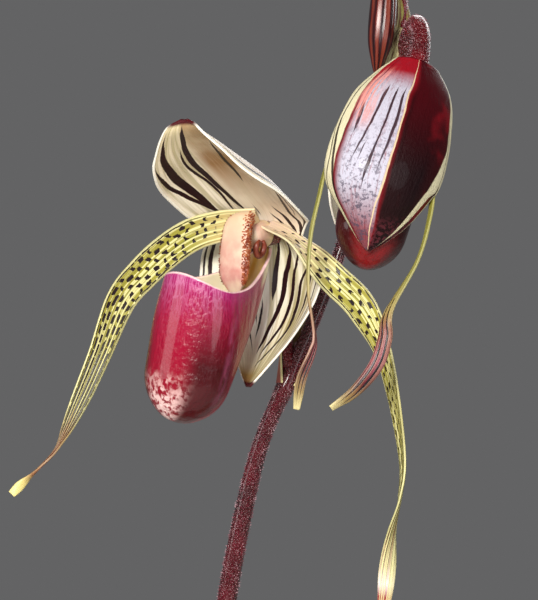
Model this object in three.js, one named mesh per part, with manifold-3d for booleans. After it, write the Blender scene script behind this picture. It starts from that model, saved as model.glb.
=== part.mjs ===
// A potted slipper orchid in bloom: a clay pot of bark, a fan of strap leaves, and a leaning
// flower stem that carries an open bloom, a bloom that is just opening and a bud.
// Millimetres, +Z up. The origin is the middle of the pot's foot, and the blooms face -Y.
import * as THREE from "three";
import { mergeVertices } from "three/addons/utils/BufferGeometryUtils.js";
import Module from "manifold-3d";

const wasm = await Module();
wasm.setup();

// Clearance between two pieces that meet
const GAP = 0.3;

// Pot
const POT = { height: 118, foot: 45, rim: 65, wall: 5, floor: 6, bandHeight: 20, bandStep: 3.5 };
const DRAIN = { count: 4, radius: 6, ring: 26 };

// Bark mix, the pit in it that the plant stands in, and the short crown at the pit's bottom
const MIX = { top: 103, chips: 40, chipLong: 15, chipWide: 9, chipThick: 5 };
const PIT = { halfLength: 44, halfWidth: 16, depth: 18 };
const CROWN = { halfLength: 35, halfWidth: 11, depth: 11 };
const SEED = 7;

// Leaves: direction, where they leave the crown, how far they reach, rise and droop, and their twist
const LEAF = { thickness: 1.8, halfWidth: 20, baseHalfWidth: 11.5 };
const LEAVES = [
  { name: "leaf_1", turn: 184, start: 30, reach: 172, rise: 112, droop: 62, twist: 0.6 },
  { name: "leaf_2", turn: -5, start: 30, reach: 178, rise: 104, droop: 66, twist: -0.8 },
  { name: "leaf_3", turn: 174, start: 23, reach: 150, rise: 146, droop: 38, twist: 1.2 },
  { name: "leaf_4", turn: 6, start: 23, reach: 158, rise: 142, droop: 44, twist: -1 },
  { name: "leaf_5", turn: 187, start: 16, reach: 112, rise: 176, droop: 10, twist: 0.7 },
  { name: "leaf_6", turn: -8, start: 16, reach: 120, rise: 170, droop: 14, twist: -1.3 },
  { name: "leaf_7", turn: 178, start: 9, reach: 62, rise: 176, droop: -6, twist: 1 },
];

// Flower stem, from the crown to its top, and its radius along it
const STEM = {
  path: [
    [0, 0, 93],
    [0, 0, 180],
    [-0.5, 0, 265],
    [1.5, 0, 325],
    [5, 0, 358],
    [14.5, 0, 402],
    [25.5, 1, 429],
    [39, 6, 461],
    [51, 8, 496],
    [60, 6, 529],
    [64, 4.5, 548],
  ],
  radius: [
    [0, 4.4],
    [0.45, 3.7],
    [0.64, 3],
    [0.7, 2.7],
    [0.725, 3.2],
    [0.75, 2.4],
    [0.94, 2.1],
    [0.97, 2.6],
    [1, 2],
  ],
};

// Sheaths where a bloom or the bud leaves the stem
const BRACTS = [
  {
    name: "bract_open",
    path: [[25, 5, 425], [27, 6.6, 433], [29, 8, 441], [31, 8.6, 449]],
    across: [1, 0, 0],
    width: [[0, 10.4], [0.3, 10], [0.6, 8.5], [0.85, 4.6], [1, 0.9]],
    bend: [[0, 2.65], [0.3, 2.1], [0.6, 1.5], [1, 0.7]],
  },
  {
    name: "bract_half",
    path: [[60.5, 1.6, 530], [62.3, 0, 537], [63.4, -0.8, 543], [64, 0.4, 547.5]],
    across: [-1, 0, 0],
    width: [[0, 10], [0.4, 10], [0.75, 7], [1, 1.5]],
    bend: [[0, 2.3], [0.5, 1.9], [1, 1]],
  },
  {
    name: "bract_bud",
    path: [[67, 7, 545.5], [67, 7, 552], [64.6, 5.5, 560], [61, 4, 568]],
    across: [0, -1, 0],
    width: [[0, 7.5], [0.35, 7], [0.7, 4.6], [1, 0.9]],
    bend: [[0, 1.9], [0.4, 1.5], [1, 0.6]],
  },
];

// The stalk of each bloom, and the radius along it
const OPEN_STALK = {
  path: [
    [25.2, 0, 432],
    [24.6, 4.5, 443],
    [26.5, 8, 456],
    [28.5, 7.5, 467],
    [27.3, 2.6, 475],
    [23.4, -2.6, 477.9],
    [16.6, -11.2, 477.1],
  ],
  radius: [[0, 1.9], [0.3, 2.4], [0.7, 3.1], [0.85, 3.6], [1, 4.4]],
};
const HALF_STALK = {
  path: [
    [63.8, 1.5, 538],
    [65.3, -3, 544.3],
    [67.2, -9.5, 547.3],
    [68.3, -15.5, 545.3],
    [68.5, -18.5, 539.5],
    [66.3, -19.9, 530],
  ],
  radius: [[0, 2.1], [0.3, 2.6], [0.7, 2.8], [0.85, 3.4], [1, 4.4]],
};
const BUD_STALK = {
  path: [[64, 4.5, 548.3], [64, 3.8, 557], [62.6, 1.4, 567], [60.3, -2.4, 572], [58, -5.4, 570]],
  radius: [[0, 1.9], [0.6, 1.8], [1, 2.4]],
};
const BUD = {
  path: [
    [57.8, -5.7, 569.4],
    [57.3, -6.6, 560],
    [56.4, -7.2, 548],
    [55.3, -7.8, 536.5],
    [54.6, -8, 530.5],
  ],
  half: [[0, 2.2], [0.12, 3.3], [0.4, 4.2], [0.7, 4], [0.9, 2.2], [1, 0.8]],
  deep: [[0, 2.4], [0.12, 4.4], [0.4, 6.4], [0.7, 6], [0.9, 3], [1, 0.9]],
};

// The open bloom's place and the way it faces
const OPEN = { at: [16, -12, 477], forward: [-0.616, -0.788, -0.06], up: [0, 0, 1] };
// The half-open bloom hangs down, its back sepal towards the viewer
const HALF = { at: [66, -20, 529], forward: [-0.27, -0.12, -0.95], up: [0.15, -1, 0] };

// In a bloom, x is to its side, -y the way it faces and z towards its upper sepal.
// The core is the ovary's end and the column, which the rest of the bloom sits round.
const CORE = { back: 12, front: -8, radius: 4.6, joint: 1 };

const OPEN_DORSAL = {
  path: [
    [0, 5, 0],
    [0, 2.5, 7],
    [0, -5, 13.5],
    [0, -17, 23],
    [0, -29.5, 30.5],
    [0, -35.5, 34],
    [0, -37, 37],
  ],
  across: [1, 0, 0],
  width: [
    [0, 16],
    [0.1, 21.5],
    [0.22, 25],
    [0.4, 26.5],
    [0.6, 26],
    [0.78, 21.5],
    [0.9, 14.5],
    [0.97, 7],
    [1, 1.5],
  ],
  bend: [[0, 0.4], [0.2, 0.62], [0.5, 0.8], [0.8, 0.95], [1, 0.6]],
};
const OPEN_SYNSEPAL = {
  path: [[0, 7, -0.5], [-2, 8.5, -8], [-2.5, 8.5, -16], [-1, 5.5, -27], [0, -1, -38.5], [0, -10, -50]],
  across: [-1, 0, 0],
  width: [
    [0, 13],
    [0.07, 22.5],
    [0.14, 27],
    [0.25, 28.5],
    [0.38, 27.5],
    [0.52, 24],
    [0.67, 17.5],
    [0.82, 9.5],
    [0.94, 4],
    [1, 1],
  ],
  bend: [[0, 0.3], [0.25, 0.4], [0.5, 0.65], [1, 0.6]],
};
const OPEN_PETALS = [
  {
    name: "open_petal_left",
    path: [
      [-2, 0.5, 4],
      [-13, -4.5, 3],
      [-23.5, -7, 0.7],
      [-33.5, -8.8, -4.4],
      [-43, -11.5, -12],
      [-51, -15, -21.5],
      [-57.5, -20, -40],
      [-61.5, -27.4, -56.5],
      [-65.5, -34, -70.5],
      [-69, -39.5, -77],
      [-72.3, -44.7, -82],
      [-74.5, -48, -85.3],
    ],
    sides: [
      [0, 0, 1],
      [-0.1, 0, 1],
      [-0.3, -0.2, 0.9],
      [-0.5, -0.35, 0.8],
      [-0.6, -0.4, 0.7],
      [-0.6, -0.45, 0.65],
      [-0.73, -0.55, 0.4],
      [-0.73, -0.55, 0.4],
      [-0.9, 0.1, 0.3],
      [-0.6, 0.8, 0],
      [0.3, 0.9, -0.35],
      [0.73, 0.55, -0.4],
    ],
    width: [
      [0, 4.8],
      [0.12, 5.6],
      [0.3, 5.9],
      [0.42, 5.4],
      [0.58, 4.1],
      [0.7, 3.3],
      [0.79, 2.1],
      [0.84, 0.9],
      [0.92, 0.8],
      [0.97, 1.7],
      [1, 1.3],
    ],
  },
  {
    name: "open_petal_right",
    path: [
      [2, -0.5, 3],
      [15, -1.5, -3],
      [27.5, 1.5, -15],
      [35, 6, -24.5],
      [40.6, 9.5, -38],
      [43.5, 11.5, -55],
      [45.1, 12.8, -75],
      [44, 12, -87],
      [41.5, 10.7, -98],
      [40, 9.5, -109],
      [38.5, 9, -119.5],
      [37, 8, -127],
    ],
    sides: [
      [0.55, -0.75, -0.35],
      [0.45, -0.7, -0.4],
      [-0.45, -0.5, -0.7],
      [-0.62, -0.5, -0.6],
      [-1, 0.12, -0.2],
      [-0.93, 0.38, 0],
      [-0.8, 0.6, 0],
      [-0.6, 0.8, 0],
      [-0.06, 1, 0],
      [0.6, 0.8, 0],
      [0.8, 0.6, 0],
      [0.93, 0.4, 0],
    ],
    width: [
      [0, 4.2],
      [0.12, 4.8],
      [0.28, 5.2],
      [0.4, 4],
      [0.6, 3.1],
      [0.75, 2.5],
      [0.9, 2.9],
      [0.96, 2.2],
      [1, 1.3],
    ],
  },
];

const HALF_DORSAL = {
  path: [
    [0, 4, 3.5],
    [-0.3, -5, 9.5],
    [-1.7, -14.5, 14.5],
    [-2.6, -28, 18.4],
    [-3, -41, 18.5],
    [-1.5, -52.5, 13.8],
    [-0.5, -61.4, 7],
  ],
  across: [1, 0, 0],
  width: [
    [0, 8],
    [0.1, 14],
    [0.25, 18.9],
    [0.42, 21.6],
    [0.6, 22.3],
    [0.75, 20.2],
    [0.88, 12.4],
    [0.95, 6],
    [1, 0.8],
  ],
  bend: [[0, 0.6], [0.3, 0.85], [0.6, 0.95], [0.85, 1], [1, 0.6]],
};
const HALF_SYNSEPAL = {
  path: [
    [0, 1, -3.5],
    [0, -8.5, -14.5],
    [0, -24, -21],
    [0, -42, -19.5],
    [0, -54, -17.5],
    [0, -63, -12.5],
  ],
  across: [-1, 0, 0],
  width: [[0, 4], [0.14, 10], [0.32, 17.5], [0.55, 19.5], [0.75, 15], [0.9, 8], [1, 1]],
  bend: [[0, 0.5], [0.4, 0.75], [1, 0.8]],
};
const HALF_PETALS = [
  {
    name: "half_petal_left",
    path: [
      [-2.5, 0.5, 1],
      [-9, -8, -2.5],
      [-15.5, -20.5, -1],
      [-20, -37, 2.7],
      [-20.5, -51, 7],
      [-20, -64.5, 10.5],
      [-16.5, -80, 12.2],
      [-10.8, -93, 12.4],
      [-10, -98.5, 12],
      [-10.8, -107.5, 11.7],
      [-9.5, -117, 10.8],
    ],
    sides: [
      [0.6, 0, 1],
      [0.5, 0, 1],
      [0.3, 0, 1],
      [0, 0.1, 1],
      [0, 0.1, 1],
      [0, 0.1, 1],
      [-0.2, 0.1, 1],
      [-0.5, 0, 0.8],
      [-0.8, 0, 0.5],
      [-1, 0, 0.1],
      [-1, 0, -0.3],
    ],
    width: [[0, 3.4], [0.15, 3], [0.4, 2], [0.65, 1.4], [0.8, 1], [0.85, 1.5], [0.95, 1.6], [1, 1]],
  },
  {
    name: "half_petal_right",
    path: [
      [2.5, 0.5, 1],
      [8.5, -7, -1],
      [13, -19, -1],
      [14.8, -33, 3.5],
      [15.3, -46, 10],
      [14, -61.5, 15.5],
      [8.9, -80, 18],
      [9.9, -88.5, 19],
      [9.5, -97.5, 18.8],
      [5.6, -107, 17.2],
      [0.1, -114, 15.5],
    ],
    sides: [
      [-0.6, 0, 1],
      [-0.5, 0, 1],
      [-0.3, 0, 1],
      [0, 0.1, 1],
      [0, 0.1, 1],
      [0, 0.1, 1],
      [0.5, 0.1, 0.8],
      [0.9, 0.1, 0.4],
      [1, 0, 0.1],
      [1, 0.3, 0],
      [0.9, 0.6, -0.1],
    ],
    width: [[0, 3.4], [0.15, 3], [0.4, 2], [0.66, 1.5], [0.74, 2.2], [0.85, 2.3], [0.95, 1.7], [1, 1.2]],
  },
];

// Number along a list of [place, value] knots, as one smooth curve
function ramp(knots) {
  const slope = knots.map(([t, y], i) => {
    const [t0, y0] = knots[Math.max(i - 1, 0)];
    const [t1, y1] = knots[Math.min(i + 1, knots.length - 1)];
    return (y1 - y0) / (t1 - t0);
  });
  return (t) => {
    const last = knots.length - 2;
    let i = 0;
    while (i < last && t > knots[i + 1][0]) i += 1;
    const [t0, y0] = knots[i];
    const [t1, y1] = knots[i + 1];
    const h = t1 - t0;
    const s = THREE.MathUtils.clamp((t - t0) / h, 0, 1);
    const rise = s * s * (3 - 2 * s);
    return y0 + (y1 - y0) * rise + h * s * (1 - s) * (slope[i] * (1 - s) - slope[i + 1] * s);
  };
}

const vector = ([x, y, z]) => new THREE.Vector3(x, y, z);
const curve = (points) => new THREE.CatmullRomCurve3(points.map(vector), false, "catmullrom", 0.5);

// A path whose two ends are moved outwards
function stretched(path, by) {
  const points = path.map(vector);
  const last = points.length - 1;
  const start = points[0].clone().sub(points[1]).setLength(by);
  const end = points[last].clone().sub(points[last - 1]).setLength(by);
  points[0].add(start);
  points[last].add(end);
  return points.map((point) => point.toArray());
}

// Surface of a blade: a spine, the direction across it, its half width and how far it bends round
function bladeSurface({ path, across, sides, width, bend, relief = () => 0 }, grow = 0) {
  const spine = curve(stretched(path, grow));
  const turning = curve(sides ?? path.map(() => across));
  const halfWidth = ramp(width);
  const halfAngle = ramp(bend);
  return (u, v) => {
    const t = spine.getUtoTmapping(THREE.MathUtils.clamp(u, 0, 1));
    const along = spine.getTangent(t);
    const side = turning.getPoint(t);
    side.addScaledVector(along, -side.dot(along)).normalize();
    const inward = new THREE.Vector3().crossVectors(side, along);
    const w = halfWidth(u) + grow;
    const b = halfAngle(u);
    const out = Math.abs(b) < 1e-3 ? w * v : (w * Math.sin(b * v)) / b;
    const lift = Math.abs(b) < 1e-3 ? 0 : (w * (1 - Math.cos(b * v))) / b;
    return spine.getPoint(t).addScaledVector(side, out).addScaledVector(inward, lift + relief(u, v, w));
  };
}

// Closed mesh from a list of points and one of triangles
function mesh(points, triangles) {
  const made = new THREE.BufferGeometry().setFromPoints(points);
  made.setIndex(triangles);
  return made;
}

// Closed thin solid on both sides of a surface of u and v, both faces split alike
function blade(surface, rows, columns, thickness) {
  const points = [];
  const step = 1e-3;
  for (const face of [0.5, -0.5]) {
    for (let i = 0; i <= rows; i += 1) {
      for (let j = 0; j <= columns; j += 1) {
        const u = i / rows;
        const v = (2 * j) / columns - 1;
        const du = surface(Math.min(u + step, 1), v).sub(surface(Math.max(u - step, 0), v));
        const dv = surface(u, Math.min(v + step, 1)).sub(surface(u, Math.max(v - step, -1)));
        const normal = dv.cross(du).normalize();
        points.push(surface(u, v).addScaledVector(normal, face * thickness));
      }
    }
  }
  const back = (rows + 1) * (columns + 1);
  const at = (i, j) => i * (columns + 1) + j;
  const triangles = [];
  for (let i = 0; i < rows; i += 1) {
    for (let j = 0; j < columns; j += 1) {
      const [a, b, c, d] = [at(i, j), at(i, j + 1), at(i + 1, j + 1), at(i + 1, j)];
      triangles.push(a, b, c, a, c, d);
      triangles.push(back + a, back + c, back + b, back + a, back + d, back + c);
    }
  }
  const rim = [];
  for (let j = 0; j < columns; j += 1) rim.push(at(0, j));
  for (let i = 0; i < rows; i += 1) rim.push(at(i, columns));
  for (let j = columns; j > 0; j -= 1) rim.push(at(rows, j));
  for (let i = rows; i > 0; i -= 1) rim.push(at(i, 0));
  rim.forEach((a, k) => {
    const b = rim[(k + 1) % rim.length];
    triangles.push(a, back + a, back + b, a, back + b, b);
  });
  return mesh(points, triangles);
}

// Closed round solid along a path: point(angle, u) gives the section's own two coordinates
function limb({ path, across = [1, 0, 0] }, rows, sides, point) {
  const spine = curve(path);
  const points = [];
  for (let i = 0; i <= rows; i += 1) {
    const u = i / rows;
    const t = spine.getUtoTmapping(u);
    const along = spine.getTangent(t);
    const x = vector(across);
    x.addScaledVector(along, -x.dot(along)).normalize();
    const y = new THREE.Vector3().crossVectors(along, x);
    for (let j = 0; j < sides; j += 1) {
      const [a, b] = point((2 * Math.PI * j) / sides, u);
      points.push(spine.getPoint(t).addScaledVector(x, a).addScaledVector(y, b));
    }
  }
  points.push(spine.getPoint(0), spine.getPoint(1));
  const [bottom, top] = [points.length - 2, points.length - 1];
  const triangles = [];
  for (let j = 0; j < sides; j += 1) {
    const k = (j + 1) % sides;
    for (let i = 0; i < rows; i += 1) {
      const [a, b, c, d] = [i * sides + j, i * sides + k, (i + 1) * sides + k, (i + 1) * sides + j];
      triangles.push(a, b, c, a, c, d);
    }
    triangles.push(bottom, k, j, top, rows * sides + j, rows * sides + k);
  }
  return mesh(points, triangles);
}

// Section of a round limb, with low ribs along it
const round = (radius, ribs = 0, depth = 0, grow = 0) => {
  const size = ramp(radius);
  return (angle, u) => {
    const r = size(u) + grow + depth * Math.cos(ribs * angle);
    return [r * Math.cos(angle), r * Math.sin(angle)];
  };
};

// Solid for cutting and joining
function solid(geometry) {
  const bare = geometry.clone();
  for (const name of Object.keys(bare.attributes)) {
    if (name !== "position") bare.deleteAttribute(name);
  }
  const merged = mergeVertices(bare, 1e-4);
  return new wasm.Manifold(
    new wasm.Mesh({
      numProp: 3,
      vertProperties: new Float32Array(merged.attributes.position.array),
      triVerts: new Uint32Array(merged.index.array),
    }),
  );
}

// Its largest piece, back as a geometry
function geometry(made) {
  const [largest] = made.decompose().sort((a, b) => b.volume() - a.volume());
  const { vertProperties, triVerts } = largest.getMesh();
  const out = new THREE.BufferGeometry();
  out.setAttribute("position", new THREE.BufferAttribute(vertProperties, 3));
  out.setIndex(new THREE.BufferAttribute(triVerts, 1));
  return out;
}

const cut = (piece, ...tools) => tools.reduce((left, tool) => left.subtract(tool), piece);
const join = (first, ...others) => others.reduce((all, one) => all.add(one), first);

// Materials
const matte = (color, roughness) => new THREE.MeshStandardMaterial({ color, roughness });
const CLAY = matte(0xb0603c, 0.9);
const BARK = matte(0x6b4326, 0.95);
const CROWN_GREEN = matte(0x8a8f55, 0.8);
const LEAF_GREEN = matte(0x3f6b2a, 0.4);
const STEM_MAROON = matte(0x5a1222, 0.55);
const OVARY_MAROON = matte(0x7a1626, 0.5);
const BRACT_OLIVE = matte(0x8c8438, 0.6);
const CREAM = matte(0xece4cf, 0.5);
const BACK_MAROON = matte(0x7a1020, 0.35);
const PETAL_GREEN = matte(0xc6c65a, 0.5);
const POUCH_MAGENTA = matte(0xa8124e, 0.35);
const POUCH_RED = matte(0x8c0a1e, 0.35);
const COLUMN_SALMON = matte(0xe8b48a, 0.6);

const plant = new THREE.Group();

// Names a solid's mesh, colours it and puts it in a group
function add(group, name, made, material) {
  const piece = new THREE.Mesh(made.isBufferGeometry ? made : geometry(made), material);
  piece.name = name;
  group.add(piece);
}

// Solid turned from an outline of [radius, height] points
function turned(outline) {
  const points = outline.map(([x, y]) => new THREE.Vector2(x, y));
  return solid(new THREE.LatheGeometry(points, 36).rotateX(Math.PI / 2));
}

// Pot
function potSolid() {
  const { height, foot, rim, wall, floor, bandHeight, bandStep } = POT;
  const bandFoot = height - bandHeight;
  const shoulder = rim - bandStep - 1;
  const outline = [
    [0, 0],
    [foot, 0],
    [foot + 1, 1.5],
    [shoulder, bandFoot],
    [rim - 1, bandFoot + 1],
    [rim, height - 1.5],
    [rim - 1.5, height],
    [rim - wall - 0.5, height],
    [rim - wall - 1.5, height - 2],
    [foot - wall + 2, floor + 1.5],
    [foot - wall, floor],
    [0, floor],
  ];
  const body = turned(outline);
  const drains = Array.from({ length: DRAIN.count }, (_, i) => {
    const angle = (2 * Math.PI * (i + 0.5)) / DRAIN.count;
    const hole = new THREE.CylinderGeometry(DRAIN.radius, DRAIN.radius, 4 * floor, 12);
    hole.rotateX(Math.PI / 2).translate(DRAIN.ring * Math.cos(angle), DRAIN.ring * Math.sin(angle), 0);
    return solid(hole);
  });
  return cut(body, ...drains);
}

// Long round-ended block between two heights, as the pit and the crown have
function stadium(halfLength, halfWidth, bottom, top) {
  const shape = new THREE.Shape();
  const straight = halfLength - halfWidth;
  shape.absarc(straight, 0, halfWidth, -Math.PI / 2, Math.PI / 2);
  shape.absarc(-straight, 0, halfWidth, Math.PI / 2, (3 * Math.PI) / 2);
  const settings = { depth: top - bottom, bevelEnabled: false, curveSegments: 8 };
  return solid(new THREE.ExtrudeGeometry(shape, settings).translate(0, 0, bottom));
}

// Repeatable random numbers from 0 to 1
function dice(seed) {
  let state = seed;
  return () => {
    state = (state * 1664525 + 1013904223) % 4294967296;
    return state / 4294967296;
  };
}

// Bark: a plug that fills the pot, with chips standing out of its top and a pit for the plant
function mixSolid() {
  const { rim, wall, floor, height, foot } = POT;
  const slope = (rim - foot - 3.5) / (height - floor);
  const inner = (z) => foot - wall + 2 + (z - floor) * slope - 2 * GAP - 1;
  const outline = [
    [0, floor + GAP],
    [foot - wall - 2, floor + GAP],
    [inner(floor + 4), floor + 4],
    [inner(MIX.top), MIX.top],
    [inner(MIX.top) * 0.6, MIX.top + 1.5],
    [0, MIX.top + 1],
  ];
  let body = turned(outline);
  const random = dice(SEED);
  let placed = 0;
  while (placed < MIX.chips) {
    const size = 0.7 + 0.5 * random();
    const [angle, reach] = [2 * Math.PI * random(), inner(MIX.top) * Math.sqrt(random())];
    const [x, y] = [reach * Math.cos(angle), reach * Math.sin(angle)];
    const half = 0.55 * MIX.chipLong * size;
    const beyond = Math.max(Math.abs(x) - PIT.halfLength + PIT.halfWidth, 0);
    const clear = Math.hypot(beyond, y) - PIT.halfWidth;
    const [spin, tip, roll] = [Math.PI * random(), 0.5 * (random() - 0.5), 0.5 * (random() - 0.5)];
    if (clear < half || reach + half > inner(MIX.top)) continue;
    const chip = new THREE.BoxGeometry(MIX.chipLong * size, MIX.chipWide * size, MIX.chipThick * size);
    chip.rotateX(roll).rotateY(tip).rotateZ(spin).translate(x, y, MIX.top + 1.4);
    body = body.add(solid(chip));
    placed += 1;
  }
  const pit = stadium(PIT.halfLength, PIT.halfWidth, MIX.top - PIT.depth, MIX.top + 20);
  return cut(body, pit);
}

// Crown: the short growth that the leaves and the flower stem rise from
const CROWN_TOP = MIX.top - PIT.depth + GAP + CROWN.depth;
function crownSolid(grow = 0) {
  const [bottom, top] = [CROWN_TOP - CROWN.depth - grow, CROWN_TOP + grow];
  return stadium(CROWN.halfLength + grow, CROWN.halfWidth + grow, bottom, top);
}

// Strap leaf, folded along its keel at its foot and flatter outwards
function leafSurface({ turn, start, reach, rise, droop, twist }) {
  const angle = THREE.MathUtils.degToRad(turn);
  const place = (r, z) => [r * Math.cos(angle), r * Math.sin(angle), CROWN_TOP + z];
  const fold = ramp([[0, 0.8], [0.12, 0.75], [0.4, 0.3], [1, 0.16]]);
  return {
    path: [
      place(start, -4),
      place(start + 0.05 * reach, 0.3 * rise),
      place(start + 0.2 * reach, 0.66 * rise),
      place(start + 0.45 * reach, 0.94 * rise),
      place(start + 0.72 * reach, rise),
      place(start + 0.9 * reach, rise - 0.45 * droop),
      place(start + reach, rise - droop),
    ],
    sides: [0, 0, 0.1, 0.2, 0.3, 0.3, 0.3].map((tilt) => {
      return [Math.sin(angle), -Math.cos(angle), tilt * twist];
    }),
    width: [
      [0, LEAF.baseHalfWidth],
      [0.15, 13],
      [0.4, LEAF.halfWidth],
      [0.75, 18.5],
      [0.92, 12.5],
      [1, 3],
    ],
    bend: [[0, 0.1], [1, 0.1]],
    relief: (u, v, w) => fold(u) * w * (Math.sqrt(v * v + 0.01) - 0.1),
  };
}

function addLeaves() {
  const floor = crownSolid(GAP);
  for (const leaf of LEAVES) {
    const whole = solid(blade(bladeSurface(leafSurface(leaf)), 16, 4, LEAF.thickness));
    add(plant, leaf.name, cut(whole, floor), LEAF_GREEN);
  }
}

// A bloom's group, turned so that -y is the way it faces
function bloom({ at, forward, up }) {
  const group = new THREE.Group();
  const y = vector(forward).normalize().negate();
  const z = vector(up);
  z.addScaledVector(y, -z.dot(y)).normalize();
  const x = new THREE.Vector3().crossVectors(y, z);
  group.quaternion.setFromRotationMatrix(new THREE.Matrix4().makeBasis(x, y, z));
  group.position.set(...at);
  plant.add(group);
  return group;
}

const sepal = (shape, grow = 0) => solid(blade(bladeSurface(shape, grow), 14, 8, 1 + 2 * grow));

const PETAL_BEND = [[0, 0.5], [0.5, 0.35], [1, 0.5]];
const petal = (shape, grow = 0) =>
  solid(blade(bladeSurface({ ...shape, bend: PETAL_BEND }, grow), 30, 4, 0.9 + 2 * grow));

// The round core of a bloom, from its joint with the stalk forwards
function core(from, to, grow = 0) {
  const rod = { path: [[0, from, 0], [0, (from + to) / 2, 0], [0, to, 0]] };
  return solid(limb(rod, 2, 12, round([[0, CORE.radius], [1, CORE.radius]], 0, 0, grow)));
}

// Slipper pouch: rings from the mouth's rim down to a round toe. The rim's back narrows to the claw.
const TOE = 0.7;
const LIP = 2.4;
function pouchSurface({ mouth, claw, axis, half, deep }) {
  const spine = curve(axis);
  const sideways = ramp(half);
  const front = ramp(deep);
  const smooth = (x) => THREE.MathUtils.smoothstep(x, 0, 1);
  const rim = (angle) => {
    const c = -Math.cos(angle);
    const back = Math.max(c, 0);
    const narrow = 1 - 0.5 * smooth(back);
    const sine = Math.sin(angle);
    const sideward = c < 0 ? sine : Math.sign(sine) * Math.abs(sine) ** 0.55;
    const y = c < 0 ? mouth[1] + front(0) * c : THREE.MathUtils.lerp(mouth[1], claw[1], back);
    const z = THREE.MathUtils.lerp(mouth[2], claw[2], back ** 3);
    const wave = LIP * (Math.min(c, 0) ** 2 - sine ** 2);
    return new THREE.Vector3(sideways(0) * narrow * sideward, y, z + wave);
  };
  const ring = (angle, t, size) => {
    const place = spine.getUtoTmapping(t);
    const along = spine.getTangent(place);
    const forward = new THREE.Vector3(0, along.z, -along.y).normalize();
    const point = spine.getPoint(place).addScaledVector(forward, front(t) * size * Math.cos(angle));
    point.x += sideways(t) * size * Math.sin(angle);
    return point;
  };
  return (angle, s) => {
    const turn = (Math.max(s - 0.6, 0) / 0.4) * (Math.PI / 2);
    const t = s < 0.6 ? (TOE * s) / 0.6 : TOE + (1 - TOE) * Math.sin(turn);
    const back = smooth((0.4 - Math.cos(angle)) / 1.4);
    const x = Math.min(t / THREE.MathUtils.lerp(0.3, 0.85, back), 1);
    const blend = THREE.MathUtils.lerp(x * (2 - x), 0.5 * (x + smooth(x)), back);
    const lift = rim(angle).sub(ring(angle, 0, 1)).multiplyScalar(1 - blend);
    return ring(angle, t, Math.cos(turn)).add(lift);
  };
}

// Closed shell inside a surface of rings that ends in a pole
function shell(surface, rows, sides, thickness) {
  const points = [];
  const step = 1e-3;
  for (const depth of [0, thickness]) {
    for (let i = 0; i < rows; i += 1) {
      const t = i / rows;
      for (let j = 0; j < sides; j += 1) {
        const angle = (2 * Math.PI * j) / sides;
        const dt = surface(angle, t + step).sub(surface(angle, Math.max(t - step, 0)));
        const da = surface(angle + step, t).sub(surface(angle - step, t));
        const normal = da.cross(dt).normalize();
        points.push(surface(angle, t).addScaledVector(normal, depth));
      }
    }
    const toe = surface(0, 1);
    const above = surface(0, 1 - 2 * step).add(surface(Math.PI, 1 - 2 * step)).multiplyScalar(0.5);
    points.push(toe.clone().addScaledVector(above.sub(toe).normalize(), depth));
  }
  const inner = rows * sides + 1;
  const triangles = [];
  for (let j = 0; j < sides; j += 1) {
    const k = (j + 1) % sides;
    for (let i = 0; i < rows - 1; i += 1) {
      const [a, b, c, d] = [i * sides + j, i * sides + k, (i + 1) * sides + k, (i + 1) * sides + j];
      triangles.push(a, c, b, a, d, c);
      triangles.push(inner + a, inner + b, inner + c, inner + a, inner + c, inner + d);
    }
    const [a, b, toe] = [(rows - 1) * sides + j, (rows - 1) * sides + k, rows * sides];
    triangles.push(a, toe, b, inner + a, inner + b, inner + toe);
    triangles.push(j, k, inner + k, j, inner + k, inner + j);
  }
  return mesh(points, triangles);
}

// In the open bloom the pouch hangs down, rolled a little to the left
const OPEN_POUCH = {
  rows: 13,
  sides: 20,
  roll: [0, 0.17, 0],
  at: [0, 0, 0],
  mouth: [0, -28, -13.5],
  claw: [0, 3.5, -4.3],
  axis: [[0, -28, -13.5], [0, -29, -29], [0, -31.5, -46], [0, -36, -60]],
  half: [[0, 13.2], [0.3, 15], [0.6, 15], [0.85, 14], [1, 13]],
  deep: [[0, 11.5], [0.3, 13], [0.6, 13], [0.85, 12.5], [1, 12]],
};
// In the half-open bloom it still points forwards
const HALF_POUCH = {
  rows: 11,
  sides: 16,
  roll: [-1.48, 0, 0],
  at: [0, -24, 1.2],
  mouth: [0, 0, 0],
  claw: [0, 4, 19],
  axis: [[0, 0, 0], [0, 0, -15], [0.5, 0.5, -30], [1.5, 1.5, -42.5]],
  half: [[0, 11.5], [0.4, 12.5], [0.8, 11.5], [1, 10]],
  deep: [[0, 9.5], [0.4, 10], [0.8, 9], [1, 8]],
};

function pouchSolid(pouch) {
  const made = shell(pouchSurface(pouch), pouch.rows, pouch.sides, 1);
  made.applyMatrix4(new THREE.Matrix4().makeRotationFromEuler(new THREE.Euler(...pouch.roll)));
  return solid(made.translate(...pouch.at));
}

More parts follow.
